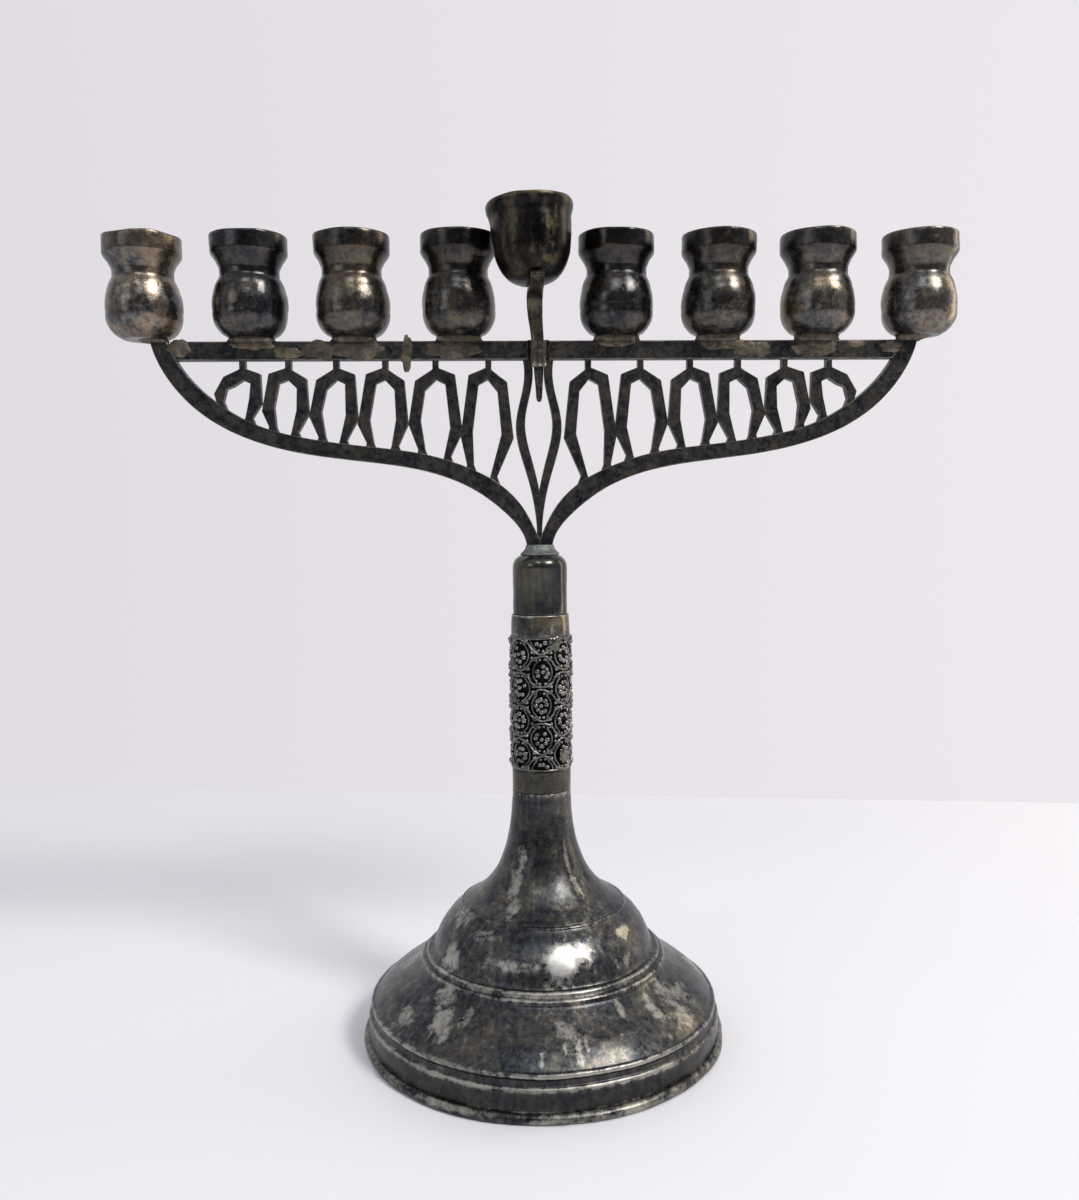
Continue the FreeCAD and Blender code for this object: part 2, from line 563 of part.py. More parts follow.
failed = [thing.Name for thing in doc.Objects if {"Invalid", "Error"} & set(thing.State)]
if failed:
    raise SystemExit(f"these objects failed to recompute: {failed}")
os.makedirs("parts", exist_ok=True)
for sub_part in sub_parts:
    shape = sub_part.Shape
    if shape.isNull() or not shape.isValid() or not shape.Solids:
        raise SystemExit(f"{sub_part.Label} has no valid solid")
    shape.exportStep(os.path.join("parts", f"{sub_part.Label}.step"))
    print(f"{sub_part.Label}: {len(shape.Solids)} solid(s), {shape.Volume / 1000:.3f} cm3")
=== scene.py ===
import math
import random

import bmesh
import bpy
from mathutils import Matrix, Vector, noise


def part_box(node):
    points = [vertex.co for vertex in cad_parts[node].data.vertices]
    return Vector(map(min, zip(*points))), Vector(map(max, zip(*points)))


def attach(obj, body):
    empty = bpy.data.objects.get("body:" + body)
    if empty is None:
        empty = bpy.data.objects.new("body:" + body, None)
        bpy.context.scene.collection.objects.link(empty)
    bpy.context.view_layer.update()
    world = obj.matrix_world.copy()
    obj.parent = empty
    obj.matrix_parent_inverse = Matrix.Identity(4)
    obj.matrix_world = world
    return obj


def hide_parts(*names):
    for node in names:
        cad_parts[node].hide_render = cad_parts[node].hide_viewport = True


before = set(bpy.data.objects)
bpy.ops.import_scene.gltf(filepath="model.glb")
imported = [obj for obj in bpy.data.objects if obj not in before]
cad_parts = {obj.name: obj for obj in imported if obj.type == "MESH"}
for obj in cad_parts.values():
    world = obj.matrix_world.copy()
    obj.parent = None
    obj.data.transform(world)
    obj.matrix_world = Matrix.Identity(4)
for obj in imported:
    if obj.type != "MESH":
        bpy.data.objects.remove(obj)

# A heavily tarnished silver menorah. Outlines below are in millimetres, as (radius, height) or
# (radius, height, bend): bend is the radius of the arc to the next corner, turning left if positive.
MM = 0.001
STAND, LAMP = "stand", "shamash"
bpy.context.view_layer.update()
SCENE = bpy.context.scene

TINY = 1e-6                      # a shorter length counts as none
STRAIGHT = math.radians(152)     # an outline's corner that is flatter than this isn't cut off
CUT, CUT_SHARE = 0.2, 0.35       # how much of each side a cut takes: mm, and at most this share of it
WEAR_REACH = 1.1                 # an edge is worn where the outline turns within this many mm
FULL_WEAR = 1.1                  # a turn by this many radians is worn in full
SPOT_RAGGED = 0.5                # how far a spot's edge strays, as a share of the spot
SPOT_PITCH = 4.0                 # and over how many mm
LIP_TALL = 4.8                   # the height of a cup's lip, in mm
SMOOTH_SPOT = 1.3                # from this strength on a spot is a painted highlight, and its edge is nearly smooth


# ---------------------------------------------------------------- meshes

def arc_points(start, end, bend, step):
    """Points along the shorter arc from start towards end, without end."""
    chord = end - start
    radius = abs(bend)
    left = Vector((-chord.y, chord.x)).normalized()
    centre = (start + end) / 2 + left * math.copysign(math.sqrt(radius**2 - chord.length**2 / 4), bend)
    sweep = math.copysign(2 * math.asin(chord.length / 2 / radius), bend)
    count = max(2, math.ceil(abs(sweep) * radius / step))
    arm = start - centre
    return [centre + Matrix.Rotation(sweep * i / count, 2) @ arm for i in range(count)]


def trace(corners, step):
    """A closed outline as many short steps, with its sharp corners taken off."""
    points = []
    for corner, following in zip(corners, corners[1:] + corners[:1]):
        start, end = Vector(corner[:2]), Vector(following[:2])
        if len(corner) == 3:
            points += arc_points(start, end, corner[2], step)
        else:
            count = max(1, math.ceil((end - start).length / step))
            points += [start.lerp(end, i / count) for i in range(count)]
    soft = []
    for before, point, after in zip(points[-1:] + points[:-1], points, points[1:] + points[:1]):
        a, b = before - point, after - point
        if point.x < TINY or a.length < TINY or b.length < TINY or a.angle(b) > STRAIGHT:
            soft.append(point)
            continue
        near = point + a * min(CUT / a.length, CUT_SHARE)
        far = point + b * min(CUT / b.length, CUT_SHARE)
        soft += [near, (near + far) / 4 + point / 2, far]
    return soft


def edge_wear(points):
    """How sharply the outline turns outwards at each of its points, from 0 to 1."""
    total = len(points)

    def reached(start, way):
        """The first point beyond WEAR_REACH from start, forwards or backwards along the outline."""
        for steps in range(total // 2):
            point = points[(start + way * steps) % total]
            if (point - points[start]).length >= WEAR_REACH:
                return point
        return points[(start + way * (total // 2)) % total]

    wear = []
    for i, point in enumerate(points):
        a, b = point - reached(i, -1), reached(i, 1) - point
        turn = math.atan2(a.x * b.y - a.y * b.x, a.dot(b)) if a.length and b.length else 0
        wear.append(min(1.0, max(0.0, turn / FULL_WEAR)))
    return wear


def link(data, name):
    """A linked object that stands for a mesh, a light or a camera."""
    obj = bpy.data.objects.new(name, data)
    SCENE.collection.objects.link(obj)
    return obj


def mark(mesh, name, values):
    """Keeps a number for each point of a mesh, for its material to read."""
    mesh.attributes.new(name, "FLOAT", "POINT").data.foreach_set("value", values)


def smooth(obj, angle=40):
    """Smooth shading that keeps edges sharper than angle, in degrees."""
    obj.data.shade_smooth()
    obj.data.set_sharp_from_angle(angle=math.radians(angle))


def lathe(name, corners, around, step, matrix=None):
    """A turned solid, with its edge wear in the point attribute wear."""
    points = trace(corners, step)
    wear = edge_wear(points)
    verts, faces, worn, rings = [], [], [], []
    for point, amount in zip(points, wear):
        if point.x < TINY:
            rings.append([len(verts)] * around)
            verts.append(Vector((0, 0, point.y)) * MM)
            worn.append(amount)
            continue
        rings.append(list(range(len(verts), len(verts) + around)))
        for i in range(around):
            turn = 2 * math.pi * i / around
            verts.append(Vector((point.x * math.cos(turn), point.x * math.sin(turn), point.y)) * MM)
            worn.append(amount)
    for low, high in zip(rings, rings[1:] + rings[:1]):
        for i in range(around):
            j = (i + 1) % around
            face = list(dict.fromkeys((low[i], low[j], high[j], high[i])))
            if len(face) > 2:
                faces.append(face)
    mesh = bpy.data.meshes.new(name)
    mesh.from_pydata([tuple(vert) for vert in verts], [], faces)
    mark(mesh, "wear", worn)
    if matrix is not None:
        mesh.transform(matrix)
    mesh.update()
    obj = link(mesh, name)
    smooth(obj)
    return obj


def dent(obj, depth, pitch, seed, low=-1e9, high=1e9, centre=(0, 0)):
    """Pushes the surface in and out, away from an upright axis, by up to depth mm over about pitch mm."""
    shift = Vector((seed * 7.31, seed * 3.77, seed * 5.19))
    for vert in obj.data.vertices:
        place = vert.co / MM
        if not low <= place.z <= high:
            continue
        away = Vector((place.x - centre[0], place.y - centre[1], 0))
        if away.length < TINY:
            continue
        push = noise.fractal(place / pitch + shift, 1.0, 2.0, 2)
        vert.co += away.normalized() * push * depth * MM
    obj.data.update()


def paint(obj, spots):
    """Marks worn spots and painted highlights in the point attribute patch. A spot is (azimuth, height, half
    width, half height, strength): degrees from the front towards +X, then mm."""
    values = []
    for vert in obj.data.vertices:
        place = vert.co / MM
        turn = math.degrees(math.atan2(place.x, -place.y))
        radius = math.hypot(place.x, place.y)
        best = 0.0
        for azimuth, height, wide, tall, strength in spots:
            across = math.radians((turn - azimuth + 180) % 360 - 180) * radius / wide
            up = (place.z - height) / tall
            if abs(across) > 2 or abs(up) > 2:
                continue
            rough = SPOT_RAGGED if strength < SMOOTH_SPOT else SPOT_RAGGED * 0.22
            edge = noise.fractal(place / SPOT_PITCH, 1.0, 2.0, 3) * rough
            best = max(best, strength * min(1.0, max(0.0, 1.6 * (1.25 - math.hypot(across, up) + edge))))
        values.append(best)
    mark(obj.data, "rubbed_and_highlight", values)


def mark_soot_and_light(obj, levels, floor=0.0):
    """Marks, in the point attribute soot, smoke stain and painted shade where the amount is above none, and
    a painted highlight where it is below none: levels are (height above floor in mm, amount).
    """
    amounts = []
    for vert in obj.data.vertices:
        up = vert.co.z / MM - floor
        low = max((level for level in levels if level[0] <= up), default=levels[0])
        high = min((level for level in levels if level[0] > up), default=levels[-1])
        share = 0.0 if high[0] == low[0] else min(1.0, max(0.0, (up - low[0]) / (high[0] - low[0])))
        amounts.append(low[1] + (high[1] - low[1]) * share)
    mark(obj.data, "soot_and_painted_light", amounts)


def warp_lip(obj, start, pitch, shift, sink, lift):
    """Bends a lip up and down from start mm up, by about lift mm at its edge, over about pitch mm. On the
    whole it sinks by the share sink of that."""
    for vert in obj.data.vertices:
        up = vert.co.z / MM - start
        if up > 0:
            wave = noise.noise(Vector((vert.co.x, vert.co.y, 0)) / MM / pitch + shift)
            vert.co.z += (wave - sink) * lift * up / LIP_TALL * MM


def from_bmesh(bm, name):
    """A linked object made from a bmesh, facing outwards."""
    bmesh.ops.recalc_face_normals(bm, faces=bm.faces)
    mesh = bpy.data.meshes.new(name)
    bm.to_mesh(mesh)
    bm.free()
    return link(mesh, name)


def loft(name, rings):
    """A solid through rings of corners, given in millimetres."""
    bm = bmesh.new()
    placed = [[bm.verts.new(Vector(corner) * MM) for corner in ring] for ring in rings]
    for a, b in zip(placed, placed[1:]):
        for k in range(len(a)):
            j = (k + 1) % len(a)
            bm.faces.new((a[k], a[j], b[j], b[k]))
    bm.faces.new(placed[0])
    bm.faces.new(placed[-1])
    return from_bmesh(bm, name)


def soften(obj, width, segments=2, angle=40):
    """Small rounded edges, width in millimetres."""
    bevel = obj.modifiers.new("soft_edges", "BEVEL")
    bevel.width = width * MM
    bevel.segments = segments
    bevel.limit_method = "ANGLE"
    bevel.angle_limit = math.radians(angle)


def lump(bm, centre, wide, tall, proud, facing, seed):
    """A thin irregular pad of solder on an upright face: facing is -1 for the front, 1 for the back."""
    around, steps = 36, 6
    shift = Vector((seed * 3.1, seed * 1.9, seed))
    rings = [[bm.verts.new((centre + Vector((0, facing * proud, 0))) * MM)]]
    for ring in range(1, steps + 1):
        share = ring / steps
        verts = []
        for k in range(around):
            turn = 2 * math.pi * k / around
            way = Vector((math.cos(turn), 0, math.sin(turn)))
            ragged = 1 + 0.34 * noise.fractal(way * 1.6 + shift, 1.0, 2.0, 3)
            place = centre + Vector((way.x * wide, 0, way.z * tall)) * share * ragged
            bulge = proud * (1 - share**3) + 0.16 * noise.noise(place * 0.9 + shift) * (1 - share**4)
            place.y += facing * (bulge if ring < steps else -0.12)
            verts.append(bm.verts.new(place * MM))
        rings.append(verts)
    inner = bm.verts.new((centre + Vector((0, -facing * 0.5, 0))) * MM)
    for k in range(around):
        j = (k + 1) % around
        bm.faces.new((rings[0][0], rings[1][k], rings[1][j]))
        for a, b in zip(rings[1:], rings[2:]):
            bm.faces.new((a[k], b[k], b[j], a[j]))
        bm.faces.new((rings[-1][j], rings[-1][k], inner))


def finish_piece(obj, material, body, *replaced, slot):
    """Gives a piece its material, its body and the CAD nodes that it stands for; its slot is not used."""
    obj.data.materials.clear()
    obj.data.materials.append(material)
    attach(obj, body)
    if replaced:
        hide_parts(*replaced)


def dress(node, *looks):
    """Gives a CAD node its materials, and returns its object."""
    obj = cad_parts[node]
    obj.data.materials.clear()
    for look in looks:
        obj.data.materials.append(LOOKS[look])
    return obj


# ---------------------------------------------------------------- materials

SHADER_INPUTS = {
    "colour": "Base Color", "metallic": "Metallic", "roughness": "Roughness", "normal": "Normal"}


class Nodes:
    """Adds nodes to a material or a world, each input given as a value or as the socket that feeds it."""

    def __init__(self, owner):
        owner.use_nodes = True
        self.tree = owner.node_tree

    def feed(self, socket, value):
        if isinstance(value, bpy.types.NodeSocket):
            self.tree.links.new(value, socket)
        else:
            socket.default_value = value

    def add(self, kind, inputs=None, **settings):
        node = self.tree.nodes.new(kind)
        for key, value in settings.items():
            setattr(node, key, value)
        for key, value in (inputs or {}).items():
            self.feed(node.inputs[key], value)
        return node

    def noise(self, vector, scale, detail, rough, distortion=0.0):
        return self.add("ShaderNodeTexNoise", {"Vector": vector, "Scale": scale, "Detail": detail,
                                               "Roughness": rough, "Distortion": distortion}).outputs["Fac"]

    def math(self, operation, a, b, c=0.0):
        return self.add("ShaderNodeMath", {0: a, 1: b, 2: c}, operation=operation).outputs[0]

    def span(self, value, low, high, to_low=0.0, to_high=1.0):
        return self.add("ShaderNodeMapRange", {"Value": value, "From Min": low, "From Max": high,
                                               "To Min": to_low, "To Max": to_high}).outputs[0]

    def ramp(self, value, stops):
        node = self.add("ShaderNodeValToRGB", {"Fac": value})
        ramp = node.color_ramp
        while len(ramp.elements) < len(stops):
            ramp.elements.new(0.5)
        for element, (position, colour) in zip(ramp.elements, stops):
            element.position = position
            element.color = (*colour, 1)
        return node.outputs[0]

    def mix(self, factor, a, b):
        node = self.add("ShaderNodeMix", data_type="RGBA")
        self.feed(node.inputs["Factor"], factor)
        for key, value in (("A", a), ("B", b)):
            socket = [entry for entry in node.inputs if entry.name == key and entry.type == "RGBA"][0]
            self.feed(socket, value if isinstance(value, bpy.types.NodeSocket) else (*value, 1))
        return [entry for entry in node.outputs if entry.type == "RGBA"][0]


class Surface(Nodes):
    """A new material, with place as the position on the object in metres."""

    def __init__(self, name):
        self.material = bpy.data.materials.new(name)
        super().__init__(self.material)
        self.place = self.add("ShaderNodeTexCoord").outputs["Object"]

    def shifted(self, offset, stretch=(1, 1, 1)):
        inputs = {"Vector": self.place, "Location": offset, "Scale": stretch}
        return self.add("ShaderNodeMapping", inputs).outputs[0]

    def attribute(self, name):
        return self.add("ShaderNodeAttribute", attribute_name=name).outputs["Fac"]

    def bump(self, height, strength, distance):
        inputs = {"Strength": strength, "Distance": distance, "Height": height}
        return self.add("ShaderNodeBump", inputs).outputs[0]

    def shade(self, **inputs):
        """Feeds the shader, with its inputs in plain words, and returns the material."""
        shader = self.tree.nodes["Principled BSDF"]
        for key, value in inputs.items():
            self.feed(shader.inputs[SHADER_INPUTS[key]], value)
        return self.material


BLACK, BLUE = (0.016, 0.016, 0.017), (0.040, 0.045, 0.055)
GREY, BROWN = (0.085, 0.081, 0.076), (0.130, 0.098, 0.070)
DEPOSIT = (0.155, 0.145, 0.125)
# PAINTED_HIGHLIGHT is a painted highlight: the near white of the strongest spots
WORN, PAINTED_HIGHLIGHT = (0.52, 0.49, 0.42), (0.66, 0.65, 0.62)


def tarnished(name, seed, lightness, *, worn, brown, gloss, streaks, mottle, worn_colour=WORN, pits=0.25,
              bright=0.9, grit=1.0, edges=0.42, waves=0.0, cast=(1.0, 1.0, 1.0)):
    """Old silver under a dark skin of tarnish: blue, grey and brown clouds of the scale mottle, broken up by
    grit, dull deposits and upright streaks. The point attribute soot blackens it with smoke stain and
    painted shade, and shows more metal as a painted highlight where it is below none. The metal shows in its
    worn patches, on rubbed edges and in painted highlights. The surface has fine pits and ripples, and cast
    tints its skin."""
    n = Surface(name)
    x, y, z = seed * 0.137, seed * 0.071, seed * 0.213
    here = n.shifted((x, y, z))
    clouds = n.noise(here, mottle, 7.0, 0.68, 0.6)
    tint = n.noise(n.shifted((x + 3.1, y, z)), mottle * 0.7, 5.0, 0.6, 0.9)
    runs = n.noise(n.shifted((x, y, z), (1.0, 1.0, 0.16)), mottle * 6.5, 5.0, 0.65, 0.25)
    crust = n.noise(n.shifted((x, y + 1.9, z)), mottle * 4.5, 10.0, 0.78, 0.4)
    broad = n.noise(n.shifted((x, y, z + 4.3)), mottle * 0.38, 2.0, 0.5, 0.4)
    fine = n.noise(here, 520.0, 8.0, 0.78, 0.3)
    grain = n.noise(here, 1600.0, 4.0, 0.7)
    wear, rubbed_and_highlight, soot_and_painted_light = n.attribute("wear"), n.attribute("rubbed_and_highlight"), n.attribute("soot_and_painted_light")

    def toned(colour):
        return tuple(min(1.0, entry * lightness * share) for entry, share in zip(colour, cast))

    # the skin: clouds and grit, brown areas, deposits, dark pores, dark and pale runs, then smoke stain and
    # painted shade
    speckled = n.math("MULTIPLY_ADD", fine, 0.75 * grit, n.math("ADD", clouds, -0.375 * grit))
    skin = n.ramp(speckled, [(0.30, toned(BLACK)), (0.45, toned(BLUE)),
                             (0.58, toned(GREY)), (0.78, toned(BROWN))])
    skin = n.mix(n.span(tint, 0.48, 0.70, 0.0, brown), skin, toned(BROWN))
    dull = n.span(n.math("MULTIPLY_ADD", fine, 0.30, crust), 0.66, 0.80, 0.0, 0.50 * grit)
    skin = n.mix(dull, skin, toned(DEPOSIT))
    skin = n.mix(n.span(fine, 0.36, 0.47, 0.60 * min(1.0, grit), 0.0), skin, toned(BLACK))
    skin = n.mix(n.span(runs, 0.36, 0.50, 0.8 * streaks, 0.0), skin, toned(BLACK))
    skin = n.mix(n.span(runs, 0.54, 0.68, 0.0, 0.8 * streaks), skin, toned(DEPOSIT))
    # black with smoke stain and painted shade, from the point attribute soot
    skin = n.mix(n.math("MULTIPLY", soot_and_painted_light, 0.75), skin, toned(BLACK))

    # where the skin is rubbed off, and where painted highlights bare the metal
    level = n.math("MULTIPLY_ADD", clouds, 0.6, n.math("MULTIPLY_ADD", broad, 0.55, -0.575))
    for source, share in ((runs, streaks), (fine, 1.35), (wear, edges), (rubbed_and_highlight, 0.44), (soot_and_painted_light, -0.22)):
        level = n.math("MULTIPLY_ADD", source, share, level)
    edge = 1.11 + streaks * 0.5 - worn * 0.3
    rubbed = n.span(level, edge - 0.14, edge + 0.22)
    darker = tuple(entry * 0.8 for entry in worn_colour)
    metal = n.mix(n.span(tint, 0.44, 0.62, 0.0, 0.8), worn_colour, darker)
    # the strongest spots turn near white: painted highlights
    metal = n.mix(n.span(rubbed_and_highlight, 1.0, 1.35), metal, PAINTED_HIGHLIGHT)

    rough = n.math("MULTIPLY_ADD", fine, 0.30, gloss - 0.15)
    rough = n.math("MULTIPLY_ADD", dull, 0.22, rough)
    rough = n.math("MULTIPLY_ADD", crust, 0.24, n.math("ADD", rough, -0.12))
    height = n.math("MULTIPLY_ADD", grain, 0.35, fine)
    height = n.math("MULTIPLY_ADD", rubbed, -0.25, height)
    height = n.math("MULTIPLY_ADD", crust, waves, height)
    return n.shade(
        colour=n.mix(n.math("MULTIPLY", rubbed, bright), skin, metal), metallic=0.93,
        roughness=n.math("MULTIPLY_ADD", rubbed, 0.08, rough), normal=n.bump(height, pits, 0.00025))


def solder_look(name, lightness, cast):
    """Lumpy dull solder with dark flux in its hollows, tinted by cast."""
    n = Surface(name)
    lumps = n.noise(n.place, 330.0, 6.0, 0.7, 0.5)
    tint = n.noise(n.shifted((1.7, 0.4, 2.2)), 120.0, 4.0, 0.6, 0.4)

    def toned(grey):
        return tuple(grey * lightness * entry for entry in cast)

    colour = n.ramp(lumps, [(0.30, toned(0.020)), (0.46, toned(0.075)),
                            (0.62, toned(0.15)), (0.80, toned(0.27))])
    colour = n.mix(n.span(tint, 0.5, 0.7, 0.0, 0.6), colour, toned(0.10))
    return n.shade(colour=colour, metallic=0.6, roughness=n.span(lumps, 0.3, 0.7, 0.66, 0.40),
                   normal=n.bump(lumps, 0.6, 0.0003))


def wire_look(name, dark, light, rough):
    """Tarnished wire or beads: dark in its clouds, rubbed lighter in places."""
    n = Surface(name)
    clouds = n.noise(n.place, 260.0, 5.0, 0.65, 0.3)
    grain = n.noise(n.place, 2600.0, 3.0, 0.6)
    return n.shade(colour=n.ramp(clouds, [(0.32, dark), (0.68, light)]), metallic=0.95,
                   roughness=n.span(grain, 0.3, 0.7, rough - 0.08, rough + 0.12),
                   normal=n.bump(grain, 0.25, 0.0001))


LOOKS = {
    "foot": tarnished(
        "foot_silver", 1.0, 1.08, worn=0.58, worn_colour=(0.46, 0.44, 0.385), brown=0.16, gloss=0.30,
        streaks=0.42, grit=0.9, mottle=75.0, edges=0.30, cast=(1.0, 1.0, 0.98)),
    "rim": tarnished(
        "rim_silver", 2.0, 0.85, worn=0.50, worn_colour=(0.42, 0.41, 0.35), brown=0.30, gloss=0.36,
        streaks=0.1, mottle=70.0, edges=0.25),
    "tube": tarnished(
        "tube_silver", 3.0, 1.15, worn=-0.3, brown=0.30, gloss=0.20, pits=0.06, streaks=0.7, mottle=40.0,
        grit=0.2, edges=0.15, cast=(1.05, 1.03, 0.86)),
    # the upper collar's look is a lighter copy of the collar's look below: painted light
    "upper_collar": tarnished(
        "collar_silver_painted_lighter", 4.6, 1.9, worn=0.0, brown=0.8, gloss=0.27, pits=0.14, streaks=0.4,
        mottle=80.0, grit=0.6, edges=0.12, cast=(1.0, 0.98, 0.82)),
    "collar": tarnished(
        "collar_silver", 4.0, 0.85, worn=-0.1, brown=0.85, gloss=0.27, pits=0.12, streaks=0.4,
        mottle=80.0, grit=0.5, edges=0.12, cast=(1.0, 0.98, 0.82)),
    "frame": tarnished(
        "frame_silver", 5.0, 0.72, worn=-0.05, brown=0.12, gloss=0.38, pits=0.45, streaks=0.2,
        mottle=210.0, grit=0.8, waves=0.8, cast=(1.03, 1.0, 0.92)),
    # the rounded edges: a lighter copy of the frame's look, rubbed and lit as a painted highlight
    "edge_wear_and_highlight": tarnished(
        "edge_wear_and_highlight_silver", 5.5, 1.9, worn=0.35, worn_colour=(0.34, 0.32, 0.27), brown=0.12, gloss=0.34,
        pits=0.4, streaks=0.1, mottle=160.0, grit=0.9, cast=(1.03, 1.0, 0.90)),
    "arm": tarnished(
        "arm_silver", 6.0, 0.68, worn=0.02, brown=0.10, gloss=0.37, pits=0.45, streaks=0.15,
        mottle=240.0, grit=0.85, waves=0.8, cast=(1.02, 1.0, 0.95)),
    "lamp": tarnished(
        "lamp_silver", 7.0, 0.34, worn=0.30, worn_colour=(0.16, 0.12, 0.065), brown=0.45, gloss=0.32,
        pits=0.12, streaks=1.1, mottle=40.0, bright=0.55, grit=0.6, cast=(1.1, 1.0, 0.85)),
    "strip": tarnished(
        "strip_silver", 8.0, 1.0, worn=0.35, worn_colour=(0.30, 0.26, 0.17), brown=0.5, gloss=0.38,
        streaks=0.5, mottle=120.0, cast=(1.1, 1.0, 0.74)),
    "socket": tarnished(
        "socket_silver", 9.0, 1.3, worn=0.45, worn_colour=(0.34, 0.31, 0.22), brown=0.3, gloss=0.34,
        streaks=0.3, mottle=150.0, cast=(1.05, 1.0, 0.80)),
    "solder": solder_look("solder", 1.15, (1.0, 0.80, 0.57)),
    "pale_solder": solder_look("pale_solder", 1.9, (0.93, 1.0, 0.92)),
    "wire": wire_look("filigree_wire", (0.055, 0.054, 0.051), (0.26, 0.25, 0.235), 0.31),
    "beads": wire_look("filigree_beads", (0.07, 0.067, 0.063), (0.36, 0.345, 0.325), 0.23),
    # the core's near black is painted shade: it stands for the dark inside the openwork sleeve
    "core": wire_look("core_painted_shade", (0.005, 0.005, 0.005), (0.016, 0.016, 0.015), 0.55),
    "fitting": wire_look("old_brass", (0.09, 0.06, 0.03), (0.26, 0.18, 0.085), 0.45),
    "steel": wire_look("old_steel", (0.10, 0.095, 0.09), (0.24, 0.23, 0.22), 0.42),
}


# ---------------------------------------------------------------- foot and column

FOOT_OUTSIDE = [
    (53.4, 2.6), (53.5, 6.0), (53.4, 8.7), (53.0, 9.4), (52.3, 9.8), (52.2, 11.2), (52.7, 12.0, 0.9),
    (51.6, 13.2, 30.0), (44.5, 19.3, -40.0), (39.6, 22.6), (37.9, 24.0), (37.5, 24.6, 1.15),
    (36.1, 26.1), (36.0, 26.3, 1.05), (34.6, 27.6), (34.1, 27.7), (33.6, 28.6), (33.1, 30.3, 22.0),
    (29.4, 36.9, 13.0), (26.4, 40.0), (25.7, 40.6), (25.2, 41.1, 0.6), (24.3, 41.8), (23.9, 42.3, -23.0),
    (12.6, 54.8, -56.0), (8.85, 76.3), (8.7, 76.5),
]
FOOT_INSIDE = [
    (7.95, 76.5, 57.0), (11.7, 54.4, 24.6), (23.3, 41.4), (25.2, 39.7, -25.0), (32.5, 27.8),
    (43.9, 18.4, -23.0), (51.0, 12.1), (52.5, 9.0), (52.5, 2.6),
]
FOOT_SPOTS = [
    # rubbed and dripped patches, and painted highlights (the bright oval on the front of the dome, the
    # upright streak right of the stem's middle, and thin lines along the front of the rings): azimuth,
    # height, half width, half height, strength
    (7.5, 34.2, 4.9, 4.5, 1.5), (6.5, 30.2, 4.4, 2.4, 0.85), (6.5, 20.2, 3.2, 1.5, 0.85),
    (9.4, 16.0, 1.3, 3.0, 0.95), (5.4, 17.2, 0.7, 1.5, 0.8), (12.2, 17.6, 0.7, 1.7, 0.8),
    (-2.5, 15.6, 0.6, 1.3, 0.85), (-47.0, 22.8, 4.2, 2.2, 0.85), (-41.5, 18.8, 3.2, 3.0, 0.95),
    (-37.5, 17.4, 2.2, 1.6, 0.95), (-32.5, 21.0, 2.2, 2.2, 0.75), (-57.5, 17.0, 4.0, 2.2, 0.6),
    (30.0, 21.6, 1.3, 1.9, 0.95), (56.5, 21.5, 3.8, 2.4, 0.8), (44.0, 20.6, 2.2, 2.6, 0.72),
    (54.0, 16.2, 4.8, 2.2, 0.72), (66.0, 18.5, 4.2, 2.6, 0.6), (-33.0, 57.5, 1.9, 4.6, 0.85),
    (-35.0, 50.8, 1.9, 4.0, 0.85), (-28.0, 45.2, 1.9, 2.2, 0.8), (36.0, 56.0, 0.8, 8.0, 0.8),
    (40.0, 50.0, 0.9, 3.4, 0.8), (53.0, 37.4, 3.4, 1.6, 0.92), (-66.0, 40.0, 4.0, 2.0, 0.75),
    (-17.0, 33.0, 7.0, 1.6, 0.62), (-40.0, 38.5, 4.0, 1.6, 0.6), (44.0, 31.2, 4.0, 2.2, 0.6),
    (-57.0, 30.6, 4.0, 3.2, 0.75), (22.0, 35.0, 3.0, 3.4, 0.55), (2.0, 26.6, 26.0, 0.7, 0.65),
    (-5.0, 9.1, 46.0, 0.5, 0.72), (-20.0, 10.6, 18.0, 0.5, 0.5), (12.0, 12.3, 22.0, 0.5, 0.6),
    (150.0, 21.0, 5.0, 3.0, 0.9), (118.0, 34.0, 4.0, 3.0, 0.8), (-128.0, 18.0, 6.0, 2.6, 0.85),
    (175.0, 36.0, 6.0, 2.0, 0.7), (-150.0, 48.0, 2.0, 7.0, 0.8), (-95.0, 22.0, 4.0, 3.4, 0.8),
    (98.0, 17.0, 5.0, 2.0, 0.8), (-165.0, 30.0, 5.0, 1.8, 0.6),
]
FOOT_PAINTED_LIGHT = [
    # height, amount: painted shade on the band and in the groove above it, darker high on the throat, and a
    # painted highlight (less than none, more rubbed) on the band's edge
    (2.0, 0.25), (3.5, 0.7), (7.8, 0.7), (8.6, -0.3), (9.5, -0.3), (10.2, 0.5), (11.6, 0.4), (12.4, 0.0),
    (44.0, 0.0), (52.0, 0.25), (76.0, 0.25)]
RIM = [(52.0, 0.2), (52.6, 0), (54.2, 0, 1.5), (54.3, 2.75), (53.7, 2.95), (52.0, 2.6)]
COLLAR_BELOW = [(8.1, 76.55), (8.75, 76.55), (8.88, 76.9), (8.85, 83.1), (8.75, 83.45), (8.1, 83.45)]
COLLAR_ABOVE = [(8.1, 123.35), (8.8, 123.35), (8.85, 124.0), (8.55, 129.3), (8.45, 129.75), (8.1, 129.75)]
CAP = [
    (7.35, 129.85), (8.05, 129.85), (7.95, 136.9), (8.08, 144.0, 3.6), (5.4, 147.4), (5.35, 147.45),
    (5.0, 147.2), (5.3, 146.7), (7.35, 143.6), (7.15, 136.9),
]
FERRULE = [
    (2.0, 142.6), (5.1, 142.6), (5.1, 147.4), (5.65, 147.4), (5.75, 147.9, -3.4), (4.1, 150.2),
    (3.85, 150.45), (0, 150.5), (0, 147.0), (2.0, 147.0),
]


